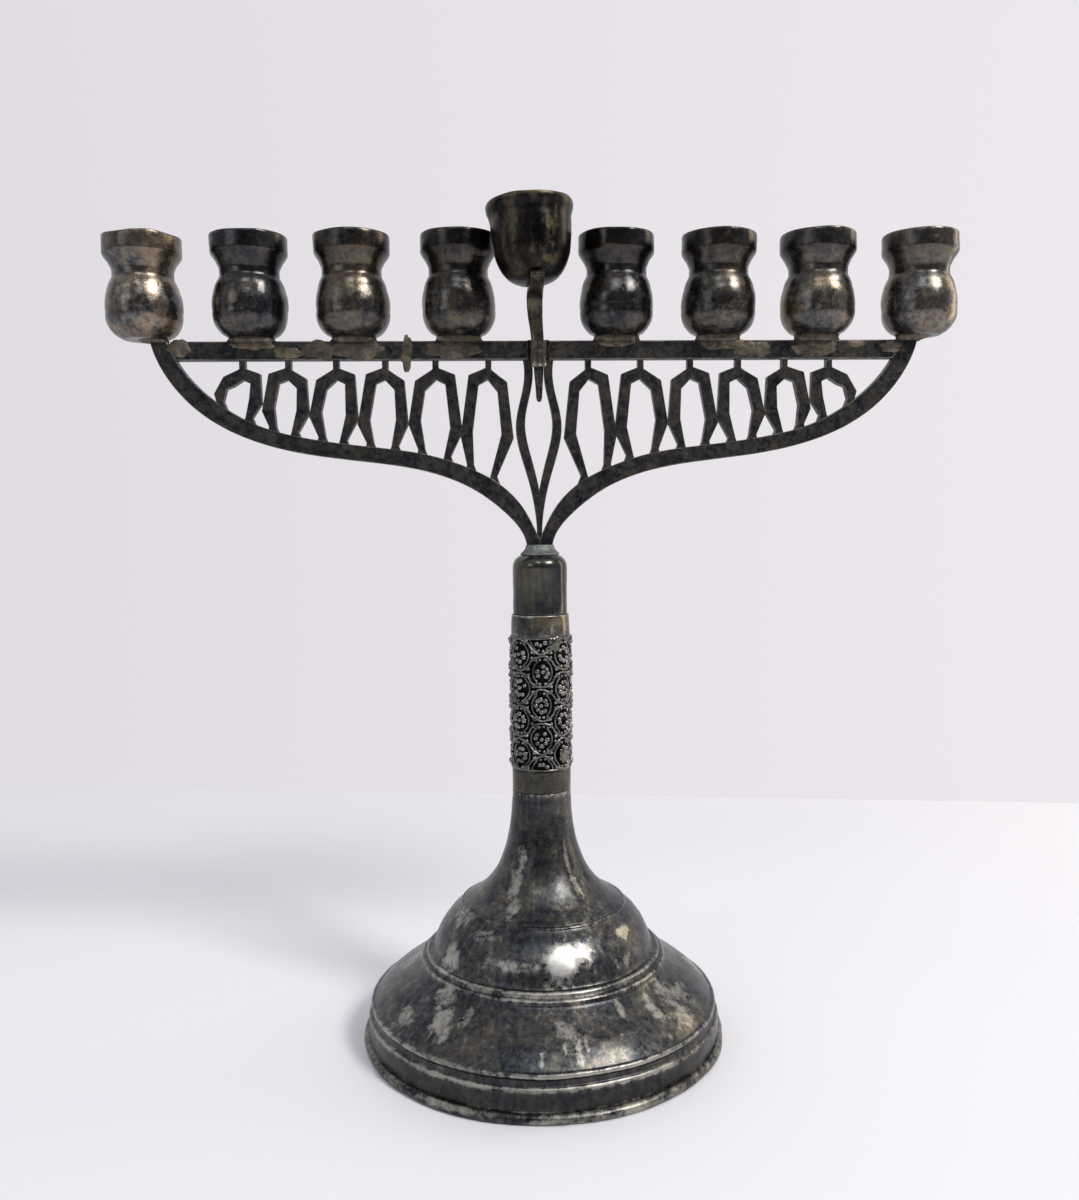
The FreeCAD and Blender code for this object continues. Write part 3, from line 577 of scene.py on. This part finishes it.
def build_foot():
    foot = lathe("foot", FOOT_OUTSIDE + FOOT_INSIDE, around=288, step=0.7)
    dent(foot, 0.45, 26.0, 1.0, high=74.0)
    dent(foot, 0.10, 6.0, 2.0, high=74.0)
    paint(foot, FOOT_SPOTS)
    mark_soot_and_light(foot, FOOT_PAINTED_LIGHT)
    finish_piece(foot, LOOKS["foot"], STAND, "foot_shell", slot="tarnished_silver")
    rim = lathe("foot_rim", RIM, around=300, step=0.5)
    dent(rim, 0.35, 18.0, 3.0)
    dent(rim, 0.10, 2.6, 4.0)
    paint(rim, [(24.0, 1.8, 2.2, 2.0, 0.9), (-30.0, 2.2, 12.0, 0.7, 0.6), (-4.0, 1.0, 5.0, 0.8, 0.6)])
    finish_piece(rim, LOOKS["rim"], STAND, "foot_rim_wire", slot="tarnished_silver")


def build_column():
    lower = lathe("collar_below", COLLAR_BELOW, around=128, step=0.6)
    dent(lower, 0.10, 9.0, 5.0)
    finish_piece(lower, LOOKS["collar"], STAND, "lower_collar", slot="tarnished_silver")
    upper = lathe("collar_above", COLLAR_ABOVE, around=128, step=0.6)
    dent(upper, 0.14, 8.0, 6.0)
    # the spot right of the middle (azimuth 22) is a painted highlight; the others are worn spots, one a pale
    # line along the top edge
    paint(upper, [(-20.0, 129.6, 14.0, 0.35, 0.9), (22.0, 125.5, 1.1, 1.5, 0.9),
                  (-60.0, 125.0, 3.0, 3.0, 0.6)])
    finish_piece(upper, LOOKS["upper_collar"], STAND, "upper_collar", slot="tarnished_silver")
    cap = lathe("cap", CAP, around=144, step=0.6)
    dent(cap, 0.16, 14.0, 7.0)
    dent(cap, 0.04, 4.0, 8.0)
    finish_piece(cap, LOOKS["tube"], STAND, "cap_tube", slot="tarnished_silver")
    ferrule = lathe("neck", FERRULE, around=96, step=0.4)
    dent(ferrule, 0.22, 3.2, 9.0, low=147.5)
    finish_piece(ferrule, LOOKS["pale_solder"], STAND, "neck_ferrule", slot="solder")


# ---------------------------------------------------------------- filigree

SLEEVE_LOW, SLEEVE_HIGH = (corner.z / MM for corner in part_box("filigree_sleeve"))
SLEEVE_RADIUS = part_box("filigree_sleeve")[1].x / MM
COLUMNS, ROWS = 4, 4
TALL, GIRTH = SLEEVE_HIGH - SLEEVE_LOW, 2 * math.pi * SLEEVE_RADIUS
PITCH, CELL = GIRTH / COLUMNS, TALL / ROWS
SUNK = 0.35                      # how far below the sleeve's surface a wire's middle lies, in mm
WAVE_WIRE, EDGE_WIRE, BRACKET_WIRE = 0.36, 0.34, 0.27    # radii, in mm
WAVE_STEPS, EDGE_STEPS, WIRE_SIDES = 320, 96, 6
CURL_TURNS, CURL_END, CURL_STEPS = 0.7, 0.4, 12
RING_BEADS = 8
MIDDLE_BEAD, RING_BEAD, END_BEAD, SIDE_BEAD = 0.74, 0.80, 0.50, 0.55    # radii, in mm
LOST_ALONG, LOST_UP, LOST_REACH = 5.6, 5.0, 1.8    # where several beads have come off
LOST_SHARE = 0.05                # how many of the others are missing
FILIGREE_SOLDER = [
    # degrees from the front, height above the lower edge, half width, half height, seed
    (24.0, TALL - 1.6, 2.0, 2.4, 3), (44.0, 4.6, 1.6, 2.6, 5), (-152.0, 9.0, 1.9, 1.8, 8)]


def on_sleeve(along, up, out):
    """A point along mm round the sleeve from the front, up mm from its lower edge and out mm above SUNK."""
    radius = SLEEVE_RADIUS - SUNK + out
    turn = along / SLEEVE_RADIUS
    return Vector((radius * math.sin(turn), -radius * math.cos(turn), SLEEVE_LOW + up)) * MM


def tube_along(bm, points, thick):
    """A round wire through points, tapering a little at both ends."""
    rings = []
    for i, point in enumerate(points):
        ahead = points[min(i + 1, len(points) - 1)] - points[max(i - 1, 0)]
        out = Vector((point.x, point.y, 0)).normalized()
        side = ahead.cross(out).normalized()
        share = min(i, len(points) - 1 - i) / 3
        size = thick * MM * (0.72 + 0.28 * min(1.0, share))
        ring = []
        for k in range(WIRE_SIDES):
            turn = 2 * math.pi * k / WIRE_SIDES
            ring.append(bm.verts.new(point + side * math.cos(turn) * size + out * math.sin(turn) * size))
        rings.append(ring)
    for a, b in zip(rings, rings[1:]):
        for k in range(WIRE_SIDES):
            bm.faces.new((a[k], a[(k + 1) % WIRE_SIDES], b[(k + 1) % WIRE_SIDES], b[k]))
    bm.faces.new(list(reversed(rings[0])))
    bm.faces.new(rings[-1])


def bead_at(bm, centre, size):
    """A bead, slightly flattened against the sleeve."""
    out = Vector((centre.x, centre.y, 0)).normalized()
    spin = out.to_track_quat("Z", "Y").to_matrix().to_4x4()
    place = Matrix.Translation(centre) @ spin @ Matrix.Diagonal((1.0, 1.0, 0.85, 1.0))
    bmesh.ops.create_icosphere(bm, subdivisions=2, radius=size * MM, matrix=place)


def curl_at(cx, cy, start, big, hand):
    """Points of a flat curl that winds inwards from the radius big to CURL_END."""
    found = []
    for i in range(CURL_STEPS):
        share = i / (CURL_STEPS - 1)
        radius = big + (CURL_END - big) * share**0.8
        turn = start + hand * CURL_TURNS * 2 * math.pi * share
        found.append((cx + radius * math.cos(turn), cy + radius * math.sin(turn)))
    return found


def add_waves(wires):
    """Wavy wires round the sleeve that meet in turn, and a plain one along each of its edges."""
    for j in range(2 * ROWS):
        hand = 1 if j % 2 == 0 else -1
        line = []
        for i in range(WAVE_STEPS + 1):
            along = GIRTH * i / WAVE_STEPS
            wave = math.cos(2 * math.pi * along / PITCH)
            swing = math.copysign(abs(wave)**0.7, wave) + 0.07 * math.sin(1.3 * along + 2.1 * j)
            up = (2 * j + 1) * CELL / 4 + hand * 0.215 * CELL * swing
            up = min(max(up, 0.35), TALL - 0.35)
            line.append(on_sleeve(along, up, 0.12 + 0.08 * math.sin(along * 1.7 + j)))
        tube_along(wires, line, WAVE_WIRE)
    for up in (0.25, TALL - 0.25):
        line = [on_sleeve(GIRTH * i / EDGE_STEPS, up, -0.05) for i in range(EDGE_STEPS + 1)]
        tube_along(wires, line, EDGE_WIRE)


def add_brackets(wires, rng, middle, centre, shift, grow):
    """Two curved brackets beside a cluster, each with a small curl at both ends."""
    for hand in (1, -1):
        turns = [math.radians(-62 + 6.2 * i) for i in range(21)]
        bracket = [(middle + shift + hand * 3.25 * grow * math.cos(turn), centre + 3.5 * math.sin(turn))
                   for turn in turns]
        for flip in (1, -1):
            big = 0.85 + rng.uniform(-0.08, 0.08)
            start = 0.0 if hand > 0 else math.pi
            curl = curl_at(middle + hand * 2.0, centre + flip * 3.75, start, big, hand * flip)
            bracket = bracket + curl if flip > 0 else curl[::-1] + bracket
        points = [on_sleeve(x, y, -0.05 + 0.10 * rng.random()) for x, y in bracket if 0.3 < y < TALL - 0.3]
        if len(points) > 8:
            tube_along(wires, points, BRACKET_WIRE)


def add_cluster(beads, rng, middle, centre, shift, grow, start):
    """A bead in a ring of beads, with smaller ones above, below and at the sides. A few have been lost."""
    turns = [start + 2 * math.pi * i / RING_BEADS + rng.uniform(-0.16, 0.16) for i in range(RING_BEADS)]
    signs = [(side, end) for side in (1, -1) for end in (1, -1)]
    offsets = [(0.0, 0.0, MIDDLE_BEAD)]
    offsets += [(1.72 * grow * math.cos(turn), 2.05 * grow * math.sin(turn), RING_BEAD) for turn in turns]
    offsets += [(side * 0.75, end * 3.6, END_BEAD) for side, end in signs]
    offsets += [(side * 4.5, end * 0.75, SIDE_BEAD) for side, end in signs]
    for dx, dy, size in offsets:
        up = centre + dy
        lost = math.hypot(middle + dx - LOST_ALONG, up - LOST_UP) < LOST_REACH
        if not 0.6 < up < TALL - 0.6 or lost or rng.random() < LOST_SHARE:
            continue
        spot = on_sleeve(middle + shift + dx + rng.uniform(-0.15, 0.15), up + rng.uniform(-0.15, 0.15),
                         rng.uniform(-0.05, 0.22))
        bead_at(beads, spot, size * rng.uniform(0.85, 1.08))


def build_filigree():
    """Wavy wires, with a cluster of beads between two brackets in every cell, and smears of solder."""
    rng = random.Random(5)
    wires, beads, smears = bmesh.new(), bmesh.new(), bmesh.new()
    add_waves(wires)
    for k in range(2 * COLUMNS):
        middle = k * PITCH / 2
        for row in range(ROWS + 1):
            centre = CELL * (row + 0.5 * (k % 2))
            if centre > TALL + 0.1:
                continue
            shift, grow, start = rng.uniform(-0.3, 0.3), rng.uniform(0.88, 1.06), rng.uniform(0.0, 0.8)
            centre += rng.uniform(-0.2, 0.2)
            add_brackets(wires, rng, middle, centre, shift, grow)
            add_cluster(beads, rng, middle, centre, shift, grow, start)
    for turn, up, wide, tall, seed in FILIGREE_SOLDER:
        first = len(smears.verts)
        lump(smears, Vector((0, -SLEEVE_RADIUS - 0.1, SLEEVE_LOW + up)), wide, tall, 0.32, -1, seed)
        smears.verts.ensure_lookup_table()
        matrix = Matrix.Rotation(math.radians(turn), 3, "Z")
        bmesh.ops.rotate(smears, verts=smears.verts[first:], matrix=matrix)
    # the solder smears take the upper collar's look, which is lightened with painted light
    for bm, name, angle, look, slot, replaced in (
            (smears, "filigree_solder", 70, "upper_collar", "solder", ()),
            (wires, "filigree_wires", 60, "wire", "filigree", ("filigree_sleeve",)),
            (beads, "filigree_beads", 80, "beads", "filigree", ())):
        obj = from_bmesh(bm, name)
        smooth(obj, angle)
        finish_piece(obj, LOOKS[look], STAND, *replaced, slot=slot)


# ---------------------------------------------------------------- cups

CUP_LOOKS = [
    # seed, lightness, worn, brown, gloss, smoke and shade: the cups differ in how brown and rubbed they are,
    # and in how much smoke stain and painted shade darken them
    (11.0, 2.3, 0.35, 0.80, 0.25, 0.45), (12.6, 1.1, 0.05, 0.25, 0.18, 0.60),
    (13.1, 1.4, 0.22, 0.65, 0.22, 0.80), (14.9, 1.2, 0.10, 0.65, 0.21, 0.90),
    (15.3, 0.9, 0.05, 0.20, 0.17, 0.85), (16.2, 1.3, 0.17, 0.60, 0.22, 0.90),
    (17.8, 1.9, 0.20, 0.80, 0.24, 1.00), (18.4, 2.0, 0.30, 0.55, 0.24, 0.90),
]
CUP_OUTSIDE = [
    (0, 0), (5.6, 0.0), (6.2, 0.1), (8.0, 1.1, 7.2), (10.62, 7.4, 14.0), (10.1, 13.3, 9.5),
    (8.9, 16.6, -2.6), (8.6, 18.2, -3.4), (8.9, 20.2), (9.5, 21.5), (10.3, 22.7), (10.8, 23.5),
    (10.92, 24.0), (10.95, 28.4), (10.8, 28.8),
]
CUP_INSIDE = [
    (10.2, 28.8), (10.05, 28.5), (10.05, 24.6), (9.4, 23.0), (8.3, 21.0, 5.4), (8.1, 16.6, -11.5),
    (9.8, 9.0, -7.2), (5.6, 0.8), (0, 0.8),
]
# how far each crooked cup stands to the right of its CAD node, and above it
CUP_SHIFTS = (-0.65, -0.35, -0.85, -0.3, 0.2, 0.3, -0.45, -0.3)
CUP_RISES = (-0.7, -0.45, -0.25, -0.1, -0.1, 0.0, 0.1, 0.0)
CUP_LIP = 24.0                   # where a cup's lip begins, above its floor
SEAT = [(0, -0.25), (5.9, -0.25), (6.2, 0.2), (6.1, 0.8), (6.3, 1.4), (6.9, 2.1), (6.4, 2.35), (0, 2.35)]
SEAT_TALL = 2.1


def cup_place(number):
    """The middle of a cup and the height of its floor, in mm."""
    low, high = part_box(f"candle_cup_{number}")
    centre = (low + high) / 2 / MM
    centre.x += CUP_SHIFTS[number - 1]
    return centre, low.z / MM + CUP_RISES[number - 1]


def build_cup(number, centre, floor):
    """A cup with its own dents, lip and tarnish, darkened by smoke stain and painted shade."""
    here = (centre.x, centre.y)
    matrix = Matrix.Translation(Vector((*here, floor)) * MM) @ Matrix.Rotation(number * 1.3, 4, "Z")
    cup = lathe(f"cup_{number}", CUP_OUTSIDE + CUP_INSIDE, around=112, step=0.6, matrix=matrix)
    dent(cup, 0.26, 10.0, number * 1.7, centre=here)
    dent(cup, 0.08, 4.0, number * 2.9, centre=here)
    warp_lip(cup, floor + CUP_LIP, 8.0, Vector((number * 4.1, 0, 0)), 0.35, 0.55 if number == 1 else 0.22)
    seed, light, worn, brown, gloss, soot_and_shade = CUP_LOOKS[number - 1]
    # darker at the base and in the crease of the throat: painted shade; darkest on the lip: smoke stain and
    # a painted dark reflection
    mark_soot_and_light(cup, [(0.0, 0.5), (2.5, 0.0), (13.5, 0.0), (17.0, 0.8 * soot_and_shade), (21.0, 0.5 * soot_and_shade),
                  (24.5, soot_and_shade), (27.6, soot_and_shade), (28.4, 0.5 * soot_and_shade)], floor)
    warm = min(1.0, brown / 0.6)
    look = tarnished(f"cup_silver_{number}", seed, light, worn=worn, brown=brown, gloss=gloss, pits=0.16,
                     streaks=0.35, mottle=85.0, grit=0.9, edges=0.03, waves=1.3,
                     cast=(0.99 + 0.11 * warm, 1.0, 1.01 - 0.15 * warm))
    finish_piece(cup, look, STAND, f"candle_cup_{number}", slot="tarnished_silver")


def build_seat(number, centre):
    """The lump of solder under a cup. It narrows towards the rail, and the two end ones lean inwards."""
    here = (centre.x, centre.y)
    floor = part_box(f"cup_seat_{number}")[0].z / MM
    matrix = Matrix.Translation(Vector((*here, floor)) * MM)
    seat = lathe(f"seat_{number}", SEAT, around=72, step=0.45, matrix=matrix)
    dent(seat, 0.55, 2.4, number * 3.3, centre=here)
    inward = {1: 3.0, 8: -3.0}.get(number, 0.0)
    wide, deep = 1.12 if inward == 0 else 0.62, 0.36
    for vert in seat.data.vertices:
        up = min(1.0, max(0.0, (vert.co.z / MM - floor) / SEAT_TALL))
        middle = (centre.x + inward * (1 - up)) * MM
        vert.co.x = middle + (vert.co.x - centre.x * MM) * (wide + (1 - wide) * up)
        vert.co.y = centre.y * MM + (vert.co.y - centre.y * MM) * (deep + (1 - deep) * up**1.5)
    finish_piece(seat, LOOKS["solder"], STAND, f"cup_seat_{number}", slot="solder")


def build_cups():
    for number in range(1, 9):
        centre, floor = cup_place(number)
        build_cup(number, centre, floor)
        build_seat(number, centre)


# ---------------------------------------------------------------- rail, arms and panel

RAIL_SOLDER = [
    # lumps of solder on the front of the rail: distance from the axis, depth of the middle below the rail's
    # top, half width, half height
    (-82.5, 1.0, 6.8, 1.6), (-63.0, 2.6, 5.4, 2.6), (-53.0, 2.5, 7.8, 3.0), (-38.4, 3.4, 1.7, 4.8),
    (-24.5, 2.5, 8.4, 3.0), (-72.5, 3.4, 4.6, 1.8), (22.6, 0.7, 5.6, 1.2), (53.5, 1.0, 6.6, 1.9),
    (62.6, 2.7, 5.6, 2.7), (81.6, 2.5, 6.9, 2.9), (93.5, 1.2, 3.2, 1.0), (-103.5, 2.2, 3.8, 2.4),
    (104.0, 2.0, 3.4, 2.0),
]


def build_frame():
    """Rounds the edges of the arms, the rail and the panel, giving the rounded edges a lighter look that is
    partly wear and partly painted highlight, and puts solder on the rail.
    """
    low, high = (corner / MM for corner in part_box("top_rail"))
    for node, look, width in (
            ("top_rail", "frame", 0.40), ("left_arm", "arm", 0.75), ("right_arm", "arm", 0.75),
            ("fretwork_left", "frame", 0.40), ("fretwork_right", "frame", 0.40),
            ("fretwork_flame", "frame", 0.40)):
        obj = dress(node, look, "edge_wear_and_highlight")
        obj.modifiers.new("joined_faces", "WELD").merge_threshold = 0.002 * MM
        flat = obj.modifiers.new("whole_faces", "DECIMATE")
        flat.decimate_type = "DISSOLVE"
        flat.angle_limit = math.radians(0.5)
        soften(obj, width, segments=3)
        # the rounded edges take the lighter look: wear and painted highlight
        obj.modifiers["soft_edges"].material = 1
        obj.modifiers.new("even_shading", "WEIGHTED_NORMAL")
    solder = bmesh.new()
    for index, (x, depth, wide, tall) in enumerate(RAIL_SOLDER):
        lump(solder, Vector((x, low.y, high.z - depth)), wide, tall, 0.34, -1, index + 1)
        if index % 2 == 0:
            behind = Vector((x + 1.5, high.y, high.z - depth * 0.8))
            lump(solder, behind, wide * 0.8, tall * 0.8, 0.3, 1, index + 40)
    pads = from_bmesh(solder, "rail_solder")
    smooth(pads, 70)
    finish_piece(pads, LOOKS["solder"], STAND, slot="solder")


# ---------------------------------------------------------------- raised cup, strip and socket

LAMP_OUTSIDE = [
    (0, 0), (2.6, 0.05, 8.5), (6.9, 1.5, 9.5), (9.0, 3.9, 16.0), (10.6, 8.2), (11.1, 12.6),
    (11.4, 16.0, -7.0), (11.85, 19.0), (12.25, 20.1), (12.4, 21.2), (12.3, 21.8),
]
LAMP_INSIDE = [
    (11.5, 21.8), (11.4, 21.2), (11.2, 19.6), (10.6, 16.2), (10.2, 12.6), (9.8, 8.4, -13.0),
    (8.3, 4.6, -7.0), (3.6, 0.85), (0, 0.8),
]
LAMP_SPOTS = [
    (24.0, 12.5, 1.1, 5.2, 0.95), (31.0, 9.0, 0.8, 6.0, 0.85), (14.0, 14.0, 0.7, 3.2, 0.6),
    (38.0, 15.5, 0.9, 3.4, 0.8), (30.0, 4.6, 2.6, 1.6, 0.9), (8.0, 6.5, 2.4, 1.4, 0.5),
    (-30.0, 12.0, 1.2, 6.0, 0.5), (-52.0, 16.0, 1.6, 4.0, 0.5), (140.0, 11.0, 1.5, 6.0, 0.8),
    (-150.0, 9.0, 1.6, 5.0, 0.8), (95.0, 14.0, 1.4, 5.0, 0.7), (-100.0, 12.0, 1.5, 5.0, 0.6),
]
LAMP_LEFT, LAMP_BACK = math.radians(3), math.radians(5)
LAMP_BASE = Vector((-1.4, -12.9, 223.5))    # the bottom of the raised cup, on the strip
LAMP_LIP = 17.0
STRIP = [
    # stations along the strip: y, z, x of the middle, width, thickness, half width and depth of its groove
    (-3.35, 191.95, 0.1, 0.7, 0.6, 0.10, 0.00), (-3.35, 192.4, 0.1, 1.35, 0.9, 0.22, 0.15),
    (-3.35, 193.2, 0.1, 1.7, 1.0, 0.32, 0.40), (-3.35, 195.6, 0.1, 2.0, 1.05, 0.32, 0.40),
    (-3.35, 196.6, 0.1, 2.15, 1.05, 0.30, 0.10), (-3.35, 200.6, 0.05, 2.7, 1.1, 0.5, 0.10),
    (-3.35, 204.0, 0.0, 3.05, 1.1, 0.7, 0.12), (-3.35, 209.2, -0.2, 3.1, 1.1, 0.8, 0.14),
    (-3.35, 209.7, -0.25, 3.6, 1.15, 1.0, 0.16), (-3.35, 212.5, -0.5, 3.75, 1.15, 1.15, 0.22),
    (-3.40, 216.0, -0.85, 4.2, 1.15, 1.2, 0.24), (-3.7, 218.9, -1.0, 4.5, 1.15, 1.25, 0.24),
    (-4.6, 220.9, -1.05, 4.6, 1.15, 1.3, 0.22), (-6.1, 222.1, -1.0, 4.6, 1.1, 1.3, 0.2),
    (-8.5, 222.55, -0.95, 4.5, 1.1, 1.3, 0.2), (-12.5, 222.5, -0.9, 4.2, 1.05, 1.35, 0.2),
    (-16.3, 222.4, -0.8, 4.0, 1.05, 1.3, 0.25), (-18.2, 222.8, -0.75, 3.85, 1.1, 1.25, 0.35),
    (-19.8, 223.6, -0.7, 3.8, 1.15, 1.2, 0.55), (-20.6, 224.4, -0.7, 3.8, 1.15, 1.2, 0.60),
    (-20.9, 224.7, -0.7, 3.8, 1.15, 1.15, 0.1), (-21.2, 225.0, -0.7, 3.7, 1.1, 1.1, 0.0),
]
SOCKET_STATIONS = [
    # up the sleeve: share of its height, half width, how far it stands out past the CAD node
    (0.0, 2.05, 0.25), (0.03, 2.3, 0.38), (0.10, 2.25, 0.12), (0.16, 2.15, 0.0), (0.80, 2.2, 0.02),
    (0.92, 2.3, 0.15), (1.0, 2.25, 0.22),
]
PLATE_STATIONS = [
    # up the plate: share of its height, half width
    (0.0, 3.0), (0.05, 3.35), (0.2, 3.5), (0.5, 3.25), (0.8, 3.5), (0.95, 3.3), (1.0, 2.9),
]


def build_strip():
    """The bent strip: a shallow channel that tapers to a slotted point and ends in a small dished tab."""
    rings = []
    for i, (y, z, x, wide, thick, half_groove, deep) in enumerate(STRIP):
        before, after = STRIP[max(i - 1, 0)], STRIP[min(i + 1, len(STRIP) - 1)]
        along = Vector((0, after[0] - before[0], after[1] - before[1])).normalized()
        front = Vector((0, -along.z, along.y))
        middle = Vector((x, y, z))
        half, side = wide / 2, thick / 2
        section = [(-half, -side), (half, -side), (half, side), (half_groove + 0.12, side),
                   (half_groove, side - deep), (-half_groove, side - deep), (-half_groove - 0.12, side),
                   (-half, side)]
        rings.append([middle + Vector((a, 0, 0)) + front * b for a, b in section])
    strip = loft("shamash_holder", rings)
    soften(strip, 0.13, angle=45)
    smooth(strip, 50)
    finish_piece(strip, LOOKS["strip"], LAMP, "shamash_strip", slot="tarnished_silver")


def build_lamp():
    lean = Matrix.Rotation(-LAMP_LEFT, 4, "Y") @ Matrix.Rotation(-LAMP_BACK, 4, "X")
    cup = lathe("shamash_lamp", LAMP_OUTSIDE + LAMP_INSIDE, around=128, step=0.6)
    dent(cup, 0.30, 12.0, 21.0)
    dent(cup, 0.06, 3.0, 22.0)
    warp_lip(cup, LAMP_LIP, 9.0, Vector((6.0, 1.0, 0)), 0.3, 0.5)
    paint(cup, LAMP_SPOTS)
    cup.data.transform(Matrix.Translation(LAMP_BASE * MM) @ lean)
    finish_piece(cup, LOOKS["lamp"], LAMP, "shamash_cup", slot="tarnished_silver")


def build_socket():
    """The sleeve that holds the strip, with raised edges, a raised middle and a flared lip below, and the
    plate behind it, with curled sides."""
    low, high = (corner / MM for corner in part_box("shamash_socket"))
    sleeve = []
    for share, half, proud in SOCKET_STATIONS:
        z = low.z + (high.z - low.z) * share
        front, hollow = low.y - proud, low.y - proud + 0.22
        back, inner = high.y, low.y + 0.36
        sleeve.append([(x, y, z) for x, y in (
            (-half, back), (-half, front + 0.12), (-half + 0.15, front), (-1.35, front), (-1.15, hollow),
            (-0.45, hollow), (-0.25, front), (0.3, front), (0.5, hollow), (1.15, hollow), (1.35, front),
            (half - 0.15, front), (half, front + 0.12), (half, back), (1.95, back), (1.95, inner),
            (-1.95, inner), (-1.95, back))])
    low, high = (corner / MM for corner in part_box("socket_back_plate"))
    plate = []
    for share, half in PLATE_STATIONS:
        z = low.z + (high.z - low.z) * share
        curl = 0.55 * abs(share - 0.5)
        plate.append([(x, y, z) for x, y in (
            (-half, high.y), (-half - 0.15, high.y - 0.35 - curl), (-half + 0.25, low.y - 0.30 - curl),
            (-half + 0.75, low.y), (half - 0.75, low.y), (half - 0.25, low.y - 0.30 - curl),
            (half + 0.15, high.y - 0.35 - curl), (half, high.y))])
    for name, rings, node in (("socket_sleeve", sleeve, "shamash_socket"),
                              ("socket_plate", plate, "socket_back_plate")):
        obj = loft(name, rings)
        soften(obj, 0.08)
        smooth(obj, 50)
        finish_piece(obj, LOOKS["socket"], STAND, node, slot="tarnished_silver")


def dress_inside():
    """Materials for the CAD parts inside the column and the foot; the core tube's near black is painted
    shade.
    """
    for node, look in (("core_tube", "core"), ("tie_rod", "steel"), ("lower_bush", "fitting"),
                       ("upper_bush", "fitting"), ("clamp_plate", "fitting"), ("clamp_nut", "steel")):
        dress(node, look)


# ---------------------------------------------------------------- floor, light and camera

def build_floor():
    """A pale flat floor. Its back edge, where the wall begins, runs at a slant behind the object."""
    mesh = bpy.data.meshes.new("floor")
    mesh.from_pydata([(-3, -8, 0), (3, -8, 0), (3, -0.108, 0), (-3, 0.672, 0)], [], [(0, 1, 2, 3)])
    n = Surface("pale_floor")
    cloud = n.noise(n.place, 3.0, 3.0, 0.5)
    tones = [(0.3, (0.83, 0.815, 0.85)), (0.7, (0.85, 0.835, 0.87))]
    mesh.materials.append(n.shade(colour=n.ramp(cloud, tones), roughness=0.7))
    link(mesh, "floor")


def build_world():
    """The camera sees a pale wall. The metal reflects a room that is dark below and pale above."""
    world = bpy.data.worlds.new("pale_room")
    n = Nodes(world)
    n.tree.nodes.clear()
    apart = n.add("ShaderNodeSeparateXYZ", {0: n.add("ShaderNodeTexCoord").outputs["Generated"]}).outputs
    wall = n.ramp(n.span(apart["X"], -1, 1), [(0.25, (0.735, 0.71, 0.75)), (0.75, (0.845, 0.81, 0.845))])
    level = n.span(n.math("MULTIPLY_ADD", apart["Z"], 0.6, apart["Y"]), -1, 1)
    tones = [(0.05, (0.09, 0.09, 0.10)), (0.42, (0.36, 0.37, 0.41)), (0.95, (0.70, 0.70, 0.74))]
    room = n.ramp(level, tones)
    shown = n.add("ShaderNodeBackground", {"Color": wall}).outputs[0]
    lit = n.add("ShaderNodeBackground", {"Color": room}).outputs[0]
    seen = n.add("ShaderNodeLightPath").outputs["Is Camera Ray"]
    n.add("ShaderNodeOutputWorld", {0: n.add("ShaderNodeMixShader", {0: seen, 1: lit, 2: shown}).outputs[0]})
    SCENE.world = world


def area_light(name, place, target, size, power, colour):
    """A soft rectangular light at place that faces target."""
    light = bpy.data.lights.new(name, "AREA")
    light.shape = "RECTANGLE"
    light.size, light.size_y = size
    light.energy = power
    light.color = colour
    obj = link(light, name)
    obj.location = place
    obj.rotation_mode = "QUATERNION"
    obj.rotation_quaternion = (Vector(target) - Vector(place)).to_track_quat("-Z", "Y")


def build_lights():
    area_light("window_right", (0.98, -0.84, 1.38), (0, 0, 0.15), (0.42, 0.50), 20.0, (1.0, 0.985, 0.955))
    area_light("window_front", (-0.10, -0.90, 1.15), (0, 0, 0.15), (0.40, 0.30), 1.9, (0.88, 0.95, 1.0))
    area_light("window_left", (-0.85, -0.85, 0.60), (0, 0, 0.15), (0.30, 0.5), 0.9, (0.90, 0.95, 1.0))
    area_light("warm_side", (0.70, 0.20, 0.30), (0, 0, 0.15), (0.10, 0.6), 1.0, (1.0, 0.85, 0.60))
    area_light("ceiling", (0.0, -0.1, 1.6), (0, 0, 0.1), (1.8, 1.8), 0.6, (1.0, 0.99, 1.0))


def build_camera():
    """A camera close in front of the object, a little to the left of its middle and slightly tilted."""
    data = bpy.data.cameras.new("camera")
    data.sensor_width = 36.0
    data.lens = 32.105
    data.shift_x, data.shift_y = -0.0004, 0.0194
    data.clip_start = 0.01
    camera = link(data, "camera")
    camera.location = (-0.0107, -0.3197, 0.1591)
    yaw, pitch, roll = math.radians(-1.9), math.radians(90 - 5.76), math.radians(-0.475)
    turn = Matrix.Rotation(yaw, 4, "Z") @ Matrix.Rotation(pitch, 4, "X") @ Matrix.Rotation(roll, 4, "Z")
    camera.rotation_mode = "QUATERNION"
    camera.rotation_quaternion = turn.to_quaternion()
    SCENE.camera = camera


build_foot()
build_column()
build_filigree()
build_cups()
build_frame()
build_lamp()
build_strip()
build_socket()
dress_inside()
build_floor()
build_world()
build_lights()
build_camera()
SCENE.view_settings.view_transform = "Standard"
